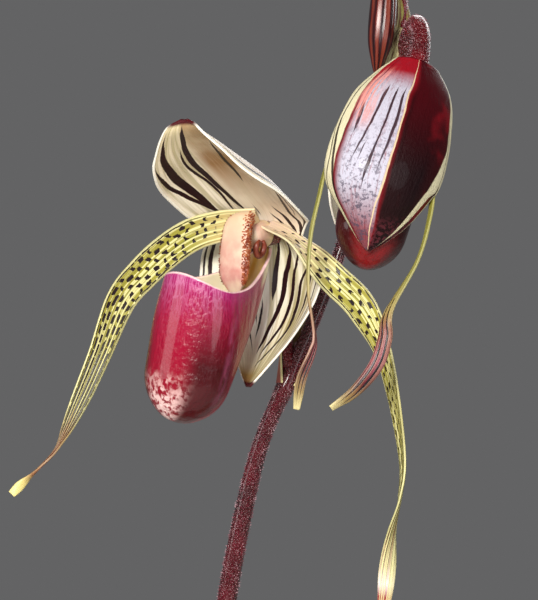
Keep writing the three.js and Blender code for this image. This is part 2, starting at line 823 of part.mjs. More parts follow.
// Column: the rod, the thick shield that bends down in front of it, and an anther on each side
const SHIELD = {
  half: [[0, 2.4], [0.25, 4.8], [0.6, 5.7], [0.85, 5], [1, 2]],
  deep: [[0, 2.4], [0.3, 2], [0.8, 1.7], [1, 0.9]],
};
const OPEN_SHIELD = [
  [0, -4, 3],
  [0, -8, 5.5],
  [0, -12, 3.5],
  [0, -14, -3.5],
  [0, -15.3, -12],
  [0, -15, -19],
];
const HALF_SHIELD = [[0, -4, 4], [0, -8, 6.5], [0, -12, 6], [0, -15.5, 3], [0, -17.5, -1]];
function columnSolid(path, grow = 0) {
  const rod = core(CORE.joint - GAP, CORE.front, grow);
  const [half, deep] = [ramp(SHIELD.half), ramp(SHIELD.deep)];
  const square = (x) => Math.sign(x) * Math.abs(x) ** 0.7;
  const section = (angle, u) => [
    (half(u) + grow) * square(Math.cos(angle)),
    (deep(u) + grow) * square(Math.sin(angle)),
  ];
  const anthers = [-1, 1].map((side) => {
    const knob = new THREE.SphereGeometry(2.7 + grow, 8, 6).scale(0.75, 1, 1.3);
    return solid(knob.translate(side * 4.3, -6.5, -4.5));
  });
  return join(rod, solid(limb({ path }, 9, 12, section)), ...anthers);
}

function addBloom(place, kind, shapes) {
  const group = bloom(place);
  const around = core(CORE.back, CORE.front - 4, GAP);
  const petals = shapes.petals.map((shape) => petal(shape));
  const fatPetals = shapes.petals.map((shape) => petal(shape, 1.5 * GAP));
  add(group, kind + "_column", columnSolid(shapes.shield), COLUMN_SALMON);
  shapes.petals.forEach((shape, i) => add(group, shape.name, cut(petals[i], around), PETAL_GREEN));
  const [dorsal, synsepal] = [shapes.dorsal, shapes.synsepal].map((shape) => {
    return cut(sepal(shape), around, ...fatPetals);
  });
  add(group, kind + "_dorsal_sepal", dorsal, shapes.sepalColor);
  add(group, kind + "_synsepal", synsepal, CREAM);
  const pouch = cut(pouchSolid(shapes.pouch), around, columnSolid(shapes.shield, GAP));
  add(group, kind + "_pouch", pouch, shapes.pouchColor);
}

const limbSolid = ({ path, radius }, rows, sides, grow = 0) =>
  solid(limb({ path: stretched(path, grow) }, rows, sides, round(radius, 0, 0, grow)));

function addStem() {
  const rows = new Map([[STEM, 44], [OPEN_STALK, 16], [HALF_STALK, 14], [BUD_STALK, 12]]);
  const plain = (part) => limbSolid(part, rows.get(part), 8);
  const fat = (part) => limbSolid(part, rows.get(part), 8, GAP);
  add(plant, "flower_stem", cut(plain(STEM), crownSolid(GAP)), STEM_MAROON);
  add(plant, "open_stalk", cut(plain(OPEN_STALK), fat(STEM)), OVARY_MAROON);
  add(plant, "half_stalk", cut(plain(HALF_STALK), fat(STEM)), OVARY_MAROON);
  add(plant, "bud_stalk", cut(plain(BUD_STALK), fat(STEM)), OVARY_MAROON);
  for (const bract of BRACTS) {
    const sheath = solid(blade(bladeSurface(bract), 7, 8, 0.7));
    add(plant, bract.name, cut(sheath, ...[...rows.keys()].map(fat)), BRACT_OLIVE);
  }
  const [wide, deep] = [ramp(BUD.half), ramp(BUD.deep)];
  const section = (angle, u) => {
    const rib = 1 + 0.05 * Math.cos(6 * angle);
    return [wide(u) * rib * Math.cos(angle), deep(u) * rib * Math.sin(angle)];
  };
  add(plant, "bud", cut(solid(limb(BUD, 14, 12, section)), fat(BUD_STALK)), BACK_MAROON);
}

add(plant, "pot", potSolid(), CLAY);
add(plant, "bark_mix", mixSolid(), BARK);
add(plant, "crown", crownSolid(), CROWN_GREEN);
addLeaves();
addStem();
addBloom(OPEN, "open", {
  petals: OPEN_PETALS,
  dorsal: OPEN_DORSAL,
  synsepal: OPEN_SYNSEPAL,
  pouch: OPEN_POUCH,
  shield: OPEN_SHIELD,
  sepalColor: CREAM,
  pouchColor: POUCH_MAGENTA,
});
addBloom(HALF, "half", {
  petals: HALF_PETALS,
  dorsal: HALF_DORSAL,
  synsepal: HALF_SYNSEPAL,
  pouch: HALF_POUCH,
  shield: HALF_SHIELD,
  sepalColor: BACK_MAROON,
  pouchColor: POUCH_RED,
});

export default plant;
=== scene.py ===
# A potted slipper orchid in bloom: an open bloom that faces left, a bloom that is just opening and a bud,
# on a leaning stem over a fan of strap leaves in a clay pot of bark.
# Shapes are worked out in millimetres and stored in metres, +Z up. The blooms face -Y.
import math

import bpy
import numpy as np
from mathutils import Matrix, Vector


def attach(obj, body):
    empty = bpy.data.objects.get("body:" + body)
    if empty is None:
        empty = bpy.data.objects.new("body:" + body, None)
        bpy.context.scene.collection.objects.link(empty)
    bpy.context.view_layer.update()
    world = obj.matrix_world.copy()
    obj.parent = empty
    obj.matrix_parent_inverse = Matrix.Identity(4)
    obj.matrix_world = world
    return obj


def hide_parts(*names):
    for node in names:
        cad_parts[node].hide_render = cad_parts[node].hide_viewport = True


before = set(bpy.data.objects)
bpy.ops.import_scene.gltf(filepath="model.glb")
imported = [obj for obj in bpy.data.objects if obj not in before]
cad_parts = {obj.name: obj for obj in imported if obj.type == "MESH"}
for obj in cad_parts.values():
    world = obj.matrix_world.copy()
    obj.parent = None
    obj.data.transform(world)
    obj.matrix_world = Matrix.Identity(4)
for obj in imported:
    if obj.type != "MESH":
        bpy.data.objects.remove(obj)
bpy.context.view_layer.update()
MM = 0.001

# Pot, bark and crown, as the solids have them, and the floor
POT_HEIGHT = 118
POT_FOOT = 45
POT_RIM = 65
POT_WALL = 5
POT_FLOOR = 6
POT_BAND = 20
MIX_TOP = 103
PIT_LENGTH = 44
PIT_WIDTH = 16
CROWN_LENGTH = 35
CROWN_WIDTH = 11
CROWN_FOOT = 85.3
CROWN_TOP = 96.3
SEED = 7
FLOOR = -0.2
FLOOR_RADIUS = 1500

# Chips on the bark: the solid's own and the loose ones among them
CHIP_LENGTH = 15
CHIP_WIDTH = 9
PLACED_THICK = 5
LOOSE_THICK = 6
PLACED_CHIPS = 40
LOOSE_CHIPS = 420

# Rows, columns and thickness of each kind of blade and of a pouch's wall, and how thin a leaf's margin is
LEAF_MESH = (90, 28, 1.8, 0.4)
PETAL_MESH = (260, 20, 0.9)
SEPAL_MESH = (110, 80, 1.0)
BRACT_MESH = (48, 48, 0.7)
POUCH_MESH = (90, 120, 1.0)

# Rows and sides of the stem, a stalk, the bud and a shield
STEM_MESH = (420, 28)
STALK_MESH = (120, 36)
BUD_MESH = (90, 96)
SHIELD_MESH = (80, 48)

# Hairs on the stem and on each stalk, and grains along each side of a shield
STEM_HAIRS = 9000
STALK_HAIRS = 1500
HAIR_SEED = 11
RIGHT_GRAINS = 620
LEFT_GRAINS = 200
GRAIN_SEED = 5

# Leaves: direction in degrees, where they leave the crown, how far they reach, rise and droop, and twist
LEAVES = {
    "leaf_1": (184, 30, 172, 112, 62, 0.6),
    "leaf_2": (-5, 30, 178, 104, 66, -0.8),
    "leaf_3": (174, 23, 150, 146, 38, 1.2),
    "leaf_4": (6, 23, 158, 142, 44, -1),
    "leaf_5": (187, 16, 112, 176, 10, 0.7),
    "leaf_6": (-8, 16, 120, 170, 14, -1.3),
    "leaf_7": (178, 9, 62, 176, -6, 1),
}
LEAF_WIDTH = [[0, 11.5], [0.15, 13], [0.4, 20], [0.75, 18.5], [0.92, 12.5], [1, 3]]
LEAF_FOLD = [[0, 0.8], [0.12, 0.75], [0.4, 0.3], [1, 0.16]]

# Stem, stalks and bud: path and size along it
STEM_PATH = [
    [0, 0, 93], [0, 0, 180], [-0.5, 0, 265], [1.5, 0, 325], [5, 0, 358], [14.5, 0, 402],
    [25.5, 1, 429], [39, 6, 461], [51, 8, 496], [60, 6, 529], [64, 4.5, 548],
]
STEM_RADIUS = [
    [0, 4.4], [0.45, 3.7], [0.64, 3], [0.7, 2.7], [0.725, 3.2], [0.75, 2.4], [0.94, 2.1], [0.97, 2.6], [1, 2],
]
STALKS = {
    "open_stalk": (
        [
            [25.2, 0, 432], [24.6, 4.5, 443], [26.5, 8, 456], [28.5, 7.5, 467],
            [27.3, 2.6, 475], [23.4, -2.6, 477.9], [16.6, -11.2, 477.1],
        ],
        [[0, 1.9], [0.3, 2.4], [0.7, 3.1], [0.85, 3.6], [1, 4.4]],
    ),
    "half_stalk": (
        [
            [63.8, 1.5, 538], [65.3, -3, 544.3], [67.2, -9.5, 547.3],
            [68.3, -15.5, 545.3], [68.5, -18.5, 539.5], [66.3, -19.9, 530],
        ],
        [[0, 2.1], [0.3, 2.6], [0.7, 2.8], [0.85, 3.4], [1, 4.4]],
    ),
    "bud_stalk": (
        [[64, 4.5, 548.3], [64, 3.8, 557], [62.6, 1.4, 567], [60.3, -2.4, 572], [58, -5.4, 570]],
        [[0, 1.9], [0.6, 1.8], [1, 2.4]],
    ),
}
BUD_PATH = [
    [57.8, -5.7, 569.4], [57.3, -6.6, 560], [56.4, -7.2, 548], [55.3, -7.8, 536.5], [54.6, -8, 530.5],
]
BUD_RIBS = 9
BUD_HALF = [[0, 2.2], [0.12, 3.3], [0.4, 4.2], [0.7, 4], [0.9, 2.2], [1, 0.8]]
BUD_DEEP = [[0, 2.4], [0.12, 4.4], [0.4, 6.4], [0.7, 6], [0.9, 3], [1, 0.9]]

# Sheaths: path, direction across, half width and bend
BRACTS = {
    "bract_open": (
        [[25, 5, 425], [27, 6.6, 433], [29, 8, 441], [31, 8.6, 449]],
        [1, 0, 0],
        [[0, 10.4], [0.3, 10], [0.6, 8.5], [0.85, 4.6], [1, 0.9]],
        [[0, 2.65], [0.3, 2.1], [0.6, 1.5], [1, 0.7]],
    ),
    "bract_half": (
        [[60.5, 1.6, 530], [62.3, 0, 537], [63.4, -0.8, 543], [64, 0.4, 547.5]],
        [-1, 0, 0],
        [[0, 10], [0.4, 10], [0.75, 7], [1, 1.5]],
        [[0, 2.3], [0.5, 1.9], [1, 1]],
    ),
    "bract_bud": (
        [[67, 7, 545.5], [67, 7, 552], [64.6, 5.5, 560], [61, 4, 568]],
        [0, -1, 0],
        [[0, 7.5], [0.35, 7], [0.7, 4.6], [1, 0.9]],
        [[0, 1.9], [0.4, 1.5], [1, 0.6]],
    ),
}

# Each bloom's place, the way it faces and its upward side
OPEN_BLOOM = ([16, -12, 477], [-0.616, -0.788, -0.06], [0, 0, 1])
HALF_BLOOM = ([66, -20, 529], [-0.27, -0.12, -0.95], [0.15, -1, 0])

# In a bloom, x is to its side, -y the way it faces and z towards its upper sepal
OPEN_DORSAL = dict(
    path=[
        [0, 5, 0], [0, 2.5, 7], [0, -5, 13.5], [0, -17, 23],
        [0, -29.5, 30.5], [0, -35.5, 34], [0, -37, 37],
    ],
    across=[1, 0, 0],
    width=[
        [0, 16], [0.1, 21.5], [0.22, 25], [0.4, 26.5], [0.6, 26],
        [0.78, 21.5], [0.9, 14.5], [0.97, 7], [1, 1.5],
    ],
    bend=[[0, 0.4], [0.2, 0.62], [0.5, 0.8], [0.8, 0.95], [1, 0.6]],
)
OPEN_SYNSEPAL = dict(
    path=[[0, 7, -0.5], [-2, 8.5, -8], [-2.5, 8.5, -16], [-1, 5.5, -27], [0, -1, -38.5], [0, -10, -50]],
    across=[-1, 0, 0],
    width=[
        [0, 13], [0.07, 22.5], [0.14, 27], [0.25, 28.5], [0.38, 27.5],
        [0.52, 24], [0.67, 17.5], [0.82, 9.5], [0.94, 4], [1, 1],
    ],
    bend=[[0, 0.3], [0.25, 0.4], [0.5, 0.65], [1, 0.6]],
)
HALF_DORSAL = dict(
    path=[
        [0, 4, 3.5], [-0.3, -5, 9.5], [-1.7, -14.5, 14.5], [-2.6, -28, 18.4],
        [-3, -41, 18.5], [-1.5, -52.5, 13.8], [-0.5, -61.4, 7],
    ],
    across=[1, 0, 0],
    width=[
        [0, 8], [0.1, 14], [0.25, 18.9], [0.42, 21.6], [0.6, 22.3],
        [0.75, 20.2], [0.88, 12.4], [0.95, 6], [1, 0.8],
    ],
    bend=[[0, 0.6], [0.3, 0.85], [0.6, 0.95], [0.85, 1], [1, 0.6]],
)
HALF_SYNSEPAL = dict(
    path=[[0, 1, -3.5], [0, -8.5, -14.5], [0, -24, -21], [0, -42, -19.5], [0, -54, -17.5], [0, -63, -12.5]],
    across=[-1, 0, 0],
    width=[[0, 4], [0.14, 10], [0.32, 17.5], [0.55, 19.5], [0.75, 15], [0.9, 8], [1, 1]],
    bend=[[0, 0.5], [0.4, 0.75], [1, 0.8]],
)
PETAL_BEND = [[0, 0.5], [0.5, 0.35], [1, 0.5]]
OPEN_LEFT = dict(
    path=[
        [-2, 0.5, 4], [-13, -4.5, 3], [-23.5, -7, 0.7], [-33.5, -8.8, -4.4], [-43, -11.5, -12],
        [-51, -15, -21.5], [-57.5, -20, -40], [-61.5, -27.4, -56.5], [-65.5, -34, -70.5],
        [-69, -39.5, -77], [-72.3, -44.7, -82], [-74.5, -48, -85.3],
    ],
    sides=[
        [0, 0, 1], [-0.1, 0, 1], [-0.3, -0.2, 0.9], [-0.5, -0.35, 0.8], [-0.6, -0.4, 0.7],
        [-0.6, -0.45, 0.65], [-0.73, -0.55, 0.4], [-0.73, -0.55, 0.4], [-0.9, 0.1, 0.3],
        [-0.6, 0.8, 0], [0.3, 0.9, -0.35], [0.73, 0.55, -0.4],
    ],
    width=[
        [0, 4.8], [0.12, 5.6], [0.3, 5.9], [0.42, 5.4], [0.58, 4.1], [0.7, 3.3],
        [0.79, 2.1], [0.84, 0.9], [0.92, 0.8], [0.97, 1.7], [1, 1.3],
    ],
    bend=PETAL_BEND,
)
OPEN_RIGHT = dict(
    path=[
        [2, -0.5, 3], [15, -1.5, -3], [27.5, 1.5, -15], [35, 6, -24.5],
        [40.6, 9.5, -38], [43.5, 11.5, -55], [45.1, 12.8, -75], [44, 12, -87],
        [41.5, 10.7, -98], [40, 9.5, -109], [38.5, 9, -119.5], [37, 8, -127],
    ],
    sides=[
        [0.55, -0.75, -0.35], [0.45, -0.7, -0.4], [-0.45, -0.5, -0.7], [-0.62, -0.5, -0.6],
        [-1, 0.12, -0.2], [-0.93, 0.38, 0], [-0.8, 0.6, 0], [-0.6, 0.8, 0], [-0.06, 1, 0],
        [0.6, 0.8, 0], [0.8, 0.6, 0], [0.93, 0.4, 0],
    ],
    width=[
        [0, 4.2], [0.12, 4.8], [0.28, 5.2], [0.4, 4], [0.6, 3.1],
        [0.75, 2.5], [0.9, 2.9], [0.96, 2.2], [1, 1.3],
    ],
    bend=PETAL_BEND,
)
HALF_LEFT = dict(
    path=[
        [-2.5, 0.5, 1], [-9, -8, -2.5], [-15.5, -20.5, -1], [-20, -37, 2.7], [-20.5, -51, 7],
        [-20, -64.5, 10.5], [-16.5, -80, 12.2], [-10.8, -93, 12.4], [-10, -98.5, 12],
        [-10.8, -107.5, 11.7], [-9.5, -117, 10.8],
    ],
    sides=[
        [0.6, 0, 1], [0.5, 0, 1], [0.3, 0, 1], [0, 0.1, 1], [0, 0.1, 1], [0, 0.1, 1],
        [-0.2, 0.1, 1], [-0.5, 0, 0.8], [-0.8, 0, 0.5], [-1, 0, 0.1], [-1, 0, -0.3],
    ],
    width=[[0, 3.4], [0.15, 3], [0.4, 2], [0.65, 1.4], [0.8, 1], [0.85, 1.5], [0.95, 1.6], [1, 1]],
    bend=PETAL_BEND,
)
HALF_RIGHT = dict(
    path=[
        [2.5, 0.5, 1], [8.5, -7, -1], [13, -19, -1], [14.8, -33, 3.5], [15.3, -46, 10], [14, -61.5, 15.5],
        [8.9, -80, 18], [9.9, -88.5, 19], [9.5, -97.5, 18.8], [5.6, -107, 17.2], [0.1, -114, 15.5],
    ],
    sides=[
        [-0.6, 0, 1], [-0.5, 0, 1], [-0.3, 0, 1], [0, 0.1, 1], [0, 0.1, 1], [0, 0.1, 1],
        [0.5, 0.1, 0.8], [0.9, 0.1, 0.4], [1, 0, 0.1], [1, 0.3, 0], [0.9, 0.6, -0.1],
    ],
    width=[[0, 3.4], [0.15, 3], [0.4, 2], [0.66, 1.5], [0.74, 2.2], [0.85, 2.3], [0.95, 1.7], [1, 1.2]],
    bend=PETAL_BEND,
)
OPEN_POUCH = dict(
    roll=[0, 0.17, 0],
    at=[0, 0, 0],
    mouth=[0, -28, -13.5],
    claw=[0, 3.5, -4.3],
    axis=[[0, -28, -13.5], [0, -29, -29], [0, -31.5, -46], [0, -36, -60]],
    half=[[0, 13.2], [0.3, 15], [0.6, 15], [0.85, 14], [1, 13]],
    deep=[[0, 11.5], [0.3, 13], [0.6, 13], [0.85, 12.5], [1, 12]],
)
HALF_POUCH = dict(
    roll=[-1.48, 0, 0],
    at=[0, -24, 1.2],
    mouth=[0, 0, 0],
    claw=[0, 4, 19],
    axis=[[0, 0, 0], [0, 0, -15], [0.5, 0.5, -30], [1.5, 1.5, -42.5]],
    half=[[0, 11.5], [0.4, 12.5], [0.8, 11.5], [1, 10]],
    deep=[[0, 9.5], [0.4, 10], [0.8, 9], [1, 8]],
)

# Pouches: how far along its axis the toe starts to close, and how far the lip rises in front and dips
# at the sides
TOE = 0.7
LIP = 2.4

# Column: a rod, its anthers and its shield
COLUMN_PATH = [[0, 0.7, 0], [0, -3.6, 0], [0, -8, 0]]
COLUMN_RADIUS = [[0, 4.6], [0.8, 4.6], [1, 3.6]]
ANTHER_RADIUS = [[0, 0.6], [0.2, 1], [0.8, 1], [1, 0.5]]
SHIELD_HALF = [[0, 2.4], [0.25, 4.8], [0.6, 5.7], [0.85, 5], [1, 2]]
SHIELD_DEEP = [[0, 2.4], [0.3, 2], [0.8, 1.7], [1, 0.9]]
OPEN_SHIELD = [[0, -4, 3], [0, -8, 5.5], [0, -12, 3.5], [0, -14, -3.5], [0, -15.3, -12], [0, -15, -19]]
HALF_SHIELD = [[0, -4, 4], [0, -8, 6.5], [0, -12, 6], [0, -15.5, 3], [0, -17.5, -1]]


# Value along a list of [place, value] knots, as one smooth curve
def ramp(knots):
    place, value = np.array(knots, float).T
    low = np.maximum(np.arange(len(place)) - 1, 0)
    high = np.minimum(np.arange(len(place)) + 1, len(place) - 1)
    slope = (value[high] - value[low]) / (place[high] - place[low])

    def at(t):
        t = np.asarray(t, float)
        i = np.clip(np.searchsorted(place, t) - 1, 0, len(place) - 2)
        h = place[i + 1] - place[i]
        s = np.clip((t - place[i]) / h, 0, 1)
        rise = s * s * (3 - 2 * s)
        bow = h * s * (1 - s) * (slope[i] * (1 - s) - slope[i + 1] * s)
        return value[i] + (value[i + 1] - value[i]) * rise + bow

    return at


def unit(a):
    return a / np.maximum(np.linalg.norm(a, axis=-1, keepdims=True), 1e-9)


def dot(a, b):
    return np.sum(a * b, -1, keepdims=True)


def smooth(x):
    x = np.clip(x, 0, 1)
    return x * x * (3 - 2 * x)


# Smooth line through points
class Curve:
    def __init__(self, points):
        p = np.array(points, float)
        self.knots = np.vstack([2 * p[0] - p[1], p, 2 * p[-1] - p[-2]])
        self.places = np.linspace(0, 1, 201)
        steps = np.linalg.norm(np.diff(self.point(self.places), axis=0), axis=-1)
        self.run = np.concatenate([[0], np.cumsum(steps)])

    def point(self, t):
        t = np.clip(np.asarray(t, float), 0, 1) * (len(self.knots) - 3)
        i = np.minimum(t.astype(int), len(self.knots) - 4)
        w = (t - i)[..., None]
        a, b, c, d = (self.knots[i + k] for k in range(4))
        start, end = (c - a) / 2, (d - b) / 2
        return b + start * w + (3 * (c - b) - 2 * start - end) * w**2 + (2 * (b - c) + start + end) * w**3

    def tangent(self, t):
        return unit(self.point(np.minimum(t + 1e-4, 1)) - self.point(np.maximum(t - 1e-4, 0)))

    # Place on the line at a share of its length
    def place(self, u):
        return np.interp(np.asarray(u, float) * self.run[-1], self.run, self.places)


# Mesh under construction: points, faces, and for each face corner its place on the surface
class Shape:
    def __init__(self):
        self.points, self.faces, self.places, self.kinds = [], [], [], []
        self.count = 0

    def add(self, points, faces, places=None, kind=0):
        self.points.append(np.asarray(points, float).reshape(-1, 3))
        self.patch(np.asarray(faces, int) + self.count, places, kind)
        self.count += len(self.points[-1])

    def patch(self, faces, places=None, kind=0):
        if places is None:
            places = np.zeros((*faces.shape, 2))
        self.faces.append(faces)
        self.places.append(np.asarray(places, float).reshape(-1, 2))
        self.kinds.append(np.full(len(faces), kind))

    def move(self, turn, at):
        self.points = [p @ np.array(turn, float).T + np.array(at, float) for p in self.points]
        return self

    # Object that has the mesh
    def build(self, name, materials, flat=False):
        mesh = bpy.data.meshes.new(name)
        faces = [face for patch in self.faces for face in patch.tolist()]
        mesh.from_pydata((np.vstack(self.points) * MM).tolist(), [], faces)
        mesh.polygons.foreach_set("material_index", np.concatenate(self.kinds))
        mesh.polygons.foreach_set("use_smooth", np.full(len(faces), not flat))
        layer = mesh.uv_layers.new(name="place")
        layer.data.foreach_set("uv", np.vstack(self.places).ravel())
        mesh.update()
        mesh.validate()
        for material in materials:
            mesh.materials.append(material)
        made = bpy.data.objects.new(name, mesh)
        bpy.context.scene.collection.objects.link(made)
        return made

    # Piece that replaces a node of the solids
    def make(self, name, materials, slot, replaces, flat=False):
        piece = self.build(name, materials, flat)
        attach(piece, "root")
        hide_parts(replaces)


# Faces of a grid of points, row by row, and their corners' places from 0 to 1
def grid(rows, columns, wrap=False):
    i, j = (a.ravel() for a in np.meshgrid(np.arange(rows), np.arange(columns), indexing="ij"))
    wide = columns if wrap else columns + 1
    corners = [(i, j), (i, j + 1), (i + 1, j + 1), (i + 1, j)]
    faces = np.stack([a * wide + (b % columns if wrap else b) for a, b in corners], -1)
    places = np.stack([np.stack([b / columns, a / rows], -1) for a, b in corners], 1)
    return faces, places


# Grid of places from 0 to 1 along a surface and from low to high across it
def spread(rows, columns, low=0, high=1, wrap=False):
    u = np.linspace(0, 1, rows + 1)
    v = np.linspace(low, high, columns + 1)
    if wrap:
        v = v[:-1]
    return np.meshgrid(u, v, indexing="ij")


def surface_normal(surface, u, v, step=1e-3):
    du = surface(np.minimum(u + step, 1), v) - surface(np.maximum(u - step, 0), v)
    dv = surface(u, np.minimum(v + step, 1)) - surface(u, np.maximum(v - step, -1))
    return unit(np.cross(dv, du))


# Surface of a blade: a spine, the direction across it, its half width and how far it bends round
def blade_surface(path, width, bend, across=None, sides=None, relief=None):
    spine = Curve(path)
    turning = Curve(sides or [across] * len(path))
    half_width, half_angle = ramp(width), ramp(bend)

    def surface(u, v):
        t = spine.place(u)
        along = spine.tangent(t)
        side = turning.point(t)
        side = unit(side - dot(side, along) * along)
        inward = np.cross(side, along)
        w, b = half_width(u), half_angle(u)
        out = w * np.sin(b * v) / b
        lift = w * (1 - np.cos(b * v)) / b
        if relief:
            lift = lift + relief(u, v, w)
        return spine.point(t) + side * out[..., None] + inward * lift[..., None]

    return surface


# Thin blade, thinner towards its margins: its front has the first material and its back the second
def add_blade(shape, surface, rows, columns, thickness, edge=0.5):
    u, v = spread(rows, columns, -1, 1)
    middle = surface(u, v)
    normal = surface_normal(surface, u, v)
    half = thickness / 2 * (edge + (1 - edge) * np.sqrt(np.maximum(1 - v**6, 0)))[..., None]
    faces, places = grid(rows, columns)
    back = (rows + 1) * (columns + 1)
    points = np.vstack([(middle + normal * half).reshape(-1, 3), (middle - normal * half).reshape(-1, 3)])
    index = np.arange(back).reshape(rows + 1, columns + 1)
    rim = np.concatenate([index[0, :-1], index[:-1, -1], index[-1, :0:-1], index[:0:-1, 0]])
    following = np.roll(rim, -1)
    strip = np.stack([rim, rim + back, following + back, following], -1)
    where = np.stack([v.ravel() / 2 + 0.5, u.ravel()], -1)
    start = shape.count
    shape.add(points, faces, places)
    shape.patch(faces[:, ::-1] + back + start, places[:, ::-1], 1)
    shape.patch(strip + start, where[strip % back])


# Tube through rings of points
def add_rings(shape, rings, kind=0):
    faces, places = grid(len(rings) - 1, len(rings[0]), wrap=True)
    shape.add(rings, faces, places, kind)


# Triangles from a tip to a ring of points
def fan(tip, first, sides):
    j = np.arange(sides)
    return np.stack([np.full(sides, tip), first + j, first + (j + 1) % sides], -1)


# Round solid along a path: section(angle, u) gives its two coordinates
def add_limb(shape, path, rows, sides, section, across=(1, 0, 0), kind=0):
    spine = Curve(path)
    u, angle = spread(rows, sides, 0, 2 * math.pi, wrap=True)
    t = spine.place(u)
    along = spine.tangent(t)
    x = np.array(across, float) * np.ones_like(along)
    x = unit(x - dot(x, along) * along)
    y = np.cross(along, x)
    a, b = section(angle, u)
    points = spine.point(t) + x * a[..., None] + y * b[..., None]
    start = shape.count
    end = start + (rows + 1) * sides
    add_rings(shape, points, kind)
    shape.add(spine.point(np.array([0.0, 1.0])), np.empty((0, 3), int), None, kind)
    caps = np.vstack([fan(end, start, sides)[:, ::-1], fan(end + 1, end - sides, sides)])
    rise = np.repeat([0.0, 1.0], sides)[:, None] * np.ones(3)
    shape.patch(caps, np.stack([np.full_like(rise, 0.5), rise], -1), kind)
    return points


# Thin cones that stand on a surface
def add_hairs(shape, roots, ways, length, radius, kind=0, sides=3):
    ways = unit(ways)
    side = unit(np.cross(ways, np.array([0.31, 0.52, 0.79])))
    other = np.cross(ways, side)
    turns = [2 * math.pi * k / sides for k in range(sides)]
    radius = np.broadcast_to(np.asarray(radius, float), len(roots))[:, None]
    length = np.broadcast_to(np.asarray(length, float), len(roots))[:, None]
    rings = [roots + radius * (side * math.cos(a) + other * math.sin(a)) for a in turns]
    points = np.stack([*rings, roots + ways * length], 1).reshape(-1, 3)
    first = np.arange(len(roots))[:, None] * (sides + 1)
    faces = [first + np.array([[k, (k + 1) % sides, sides]]) for k in range(sides)]
    shape.add(points, np.vstack(faces), None, kind)


# Hairs at random over a tube's skin, between two shares of its length
def add_fur(shape, path, radius, count, thickness, random, low=0.0, high=1.0):
    spine, size = Curve(path), ramp(radius)
    u = low + (high - low) * random.random(count)
    angle = 2 * math.pi * random.random(count)
    t = spine.place(u)
    along = spine.tangent(t)
    x = unit(np.cross(along, np.array([0.1, 1.0, 0.2])))
    way = x * np.cos(angle)[:, None] + np.cross(along, x) * np.sin(angle)[:, None]
    roots = spine.point(t) + way * size(u)[:, None]
    add_hairs(shape, roots, way + 0.3 * along, 0.4 + 0.4 * random.random(count), thickness, 1)


# Slipper pouch: rings from the mouth's rim down to a round toe. The rim's back narrows to the claw.
def pouch_surface(mouth, claw, axis, half, deep, **_):
    spine, sideways, front = Curve(axis), ramp(half), ramp(deep)

    def rim(angle):
        c, s = -np.cos(angle), np.sin(angle)
        back = np.maximum(c, 0)
        narrow = 1 - 0.5 * smooth(back)
        sideward = np.where(c < 0, s, np.sign(s) * np.abs(s) ** 0.55)
        y = np.where(c < 0, mouth[1] + front(0) * c, mouth[1] + (claw[1] - mouth[1]) * back)
        z = mouth[2] + (claw[2] - mouth[2]) * back**3 + LIP * (np.minimum(c, 0) ** 2 - s**2)
        return np.stack([sideways(0) * narrow * sideward, y, z], -1)

    def ring(angle, t, size):
        place = spine.place(t)
        along = spine.tangent(place)
        forward = unit(np.stack([np.zeros_like(t), along[..., 2], -along[..., 1]], -1))
        point = spine.point(place) + forward * (front(t) * size * np.cos(angle))[..., None]
        point[..., 0] += sideways(t) * size * np.sin(angle)
        return point

    def surface(s, angle):
        turn = np.maximum(s - 0.6, 0) / 0.4 * (math.pi / 2)
        t = np.where(s < 0.6, TOE * s / 0.6, TOE + (1 - TOE) * np.sin(turn))
        back = smooth((0.4 - np.cos(angle)) / 1.4)
        x = np.minimum(t / (0.3 + 0.55 * back), 1)
        blend = (1 - back) * x * (2 - x) + back * 0.5 * (x + smooth(x))
        lift = (rim(angle) - ring(angle, np.zeros_like(t), 1)) * (1 - blend)[..., None]
        return ring(angle, t, np.cos(turn)) + lift

    return surface


# Pouch's wall: its outside has the first material and its inside the second
def add_pouch(shape, pouch, rows, sides, thickness):
    surface = pouch_surface(**pouch)
    s, angle = (a[:-1] for a in spread(rows, sides, 0, 2 * math.pi, wrap=True))
    step = 1e-3
    ds = surface(s + step, angle) - surface(np.maximum(s - step, 0), angle)
    da = surface(s, angle + step) - surface(s, angle - step)
    outer = surface(s, angle)
    inner = outer + unit(np.cross(da, ds)) * thickness
    toe = surface(np.array(1.0), np.array(0.0))
    near = [surface(np.array(1 - 2 * step), np.array(a)) for a in (0.0, math.pi)]
    toes = np.array([toe, toe + unit((near[0] + near[1]) / 2 - toe) * thickness])
    points = np.vstack([outer.reshape(-1, 3), inner.reshape(-1, 3), toes])
    faces, places = grid(rows - 1, sides, wrap=True)
    places = places * [1, (rows - 1) / rows]
    wall = rows * sides
    start = shape.count
    shape.add(points, faces[:, ::-1], places[:, ::-1])
    shape.patch(faces + wall + start, places, 1)
    j = np.arange(sides)
    k = (j + 1) % sides
    across = np.stack([j + 0.5, j, j + 1], -1) / sides
    along = np.full((sides, 3), [1, 1 - 1 / rows, 1 - 1 / rows])
    tip_places = np.stack([across, along], -1)
    outer_tip = fan(start + 2 * wall, start + wall - sides, sides)
    inner_tip = fan(start + 2 * wall + 1, start + 2 * wall - sides, sides)
    shape.patch(outer_tip[:, ::-1], tip_places[:, ::-1])
    shape.patch(inner_tip, tip_places, 1)
    strip = np.stack([j, k, wall + k, wall + j], -1)
    edge = np.zeros((sides, 4, 2))
    edge[:, :, 0] = np.stack([j, j + 1, j + 1, j], -1) / sides
    shape.patch(strip + start, edge)
    shape.points[-1] = shape.points[-1] @ rotation(*pouch["roll"]).T + np.array(pouch["at"], float)


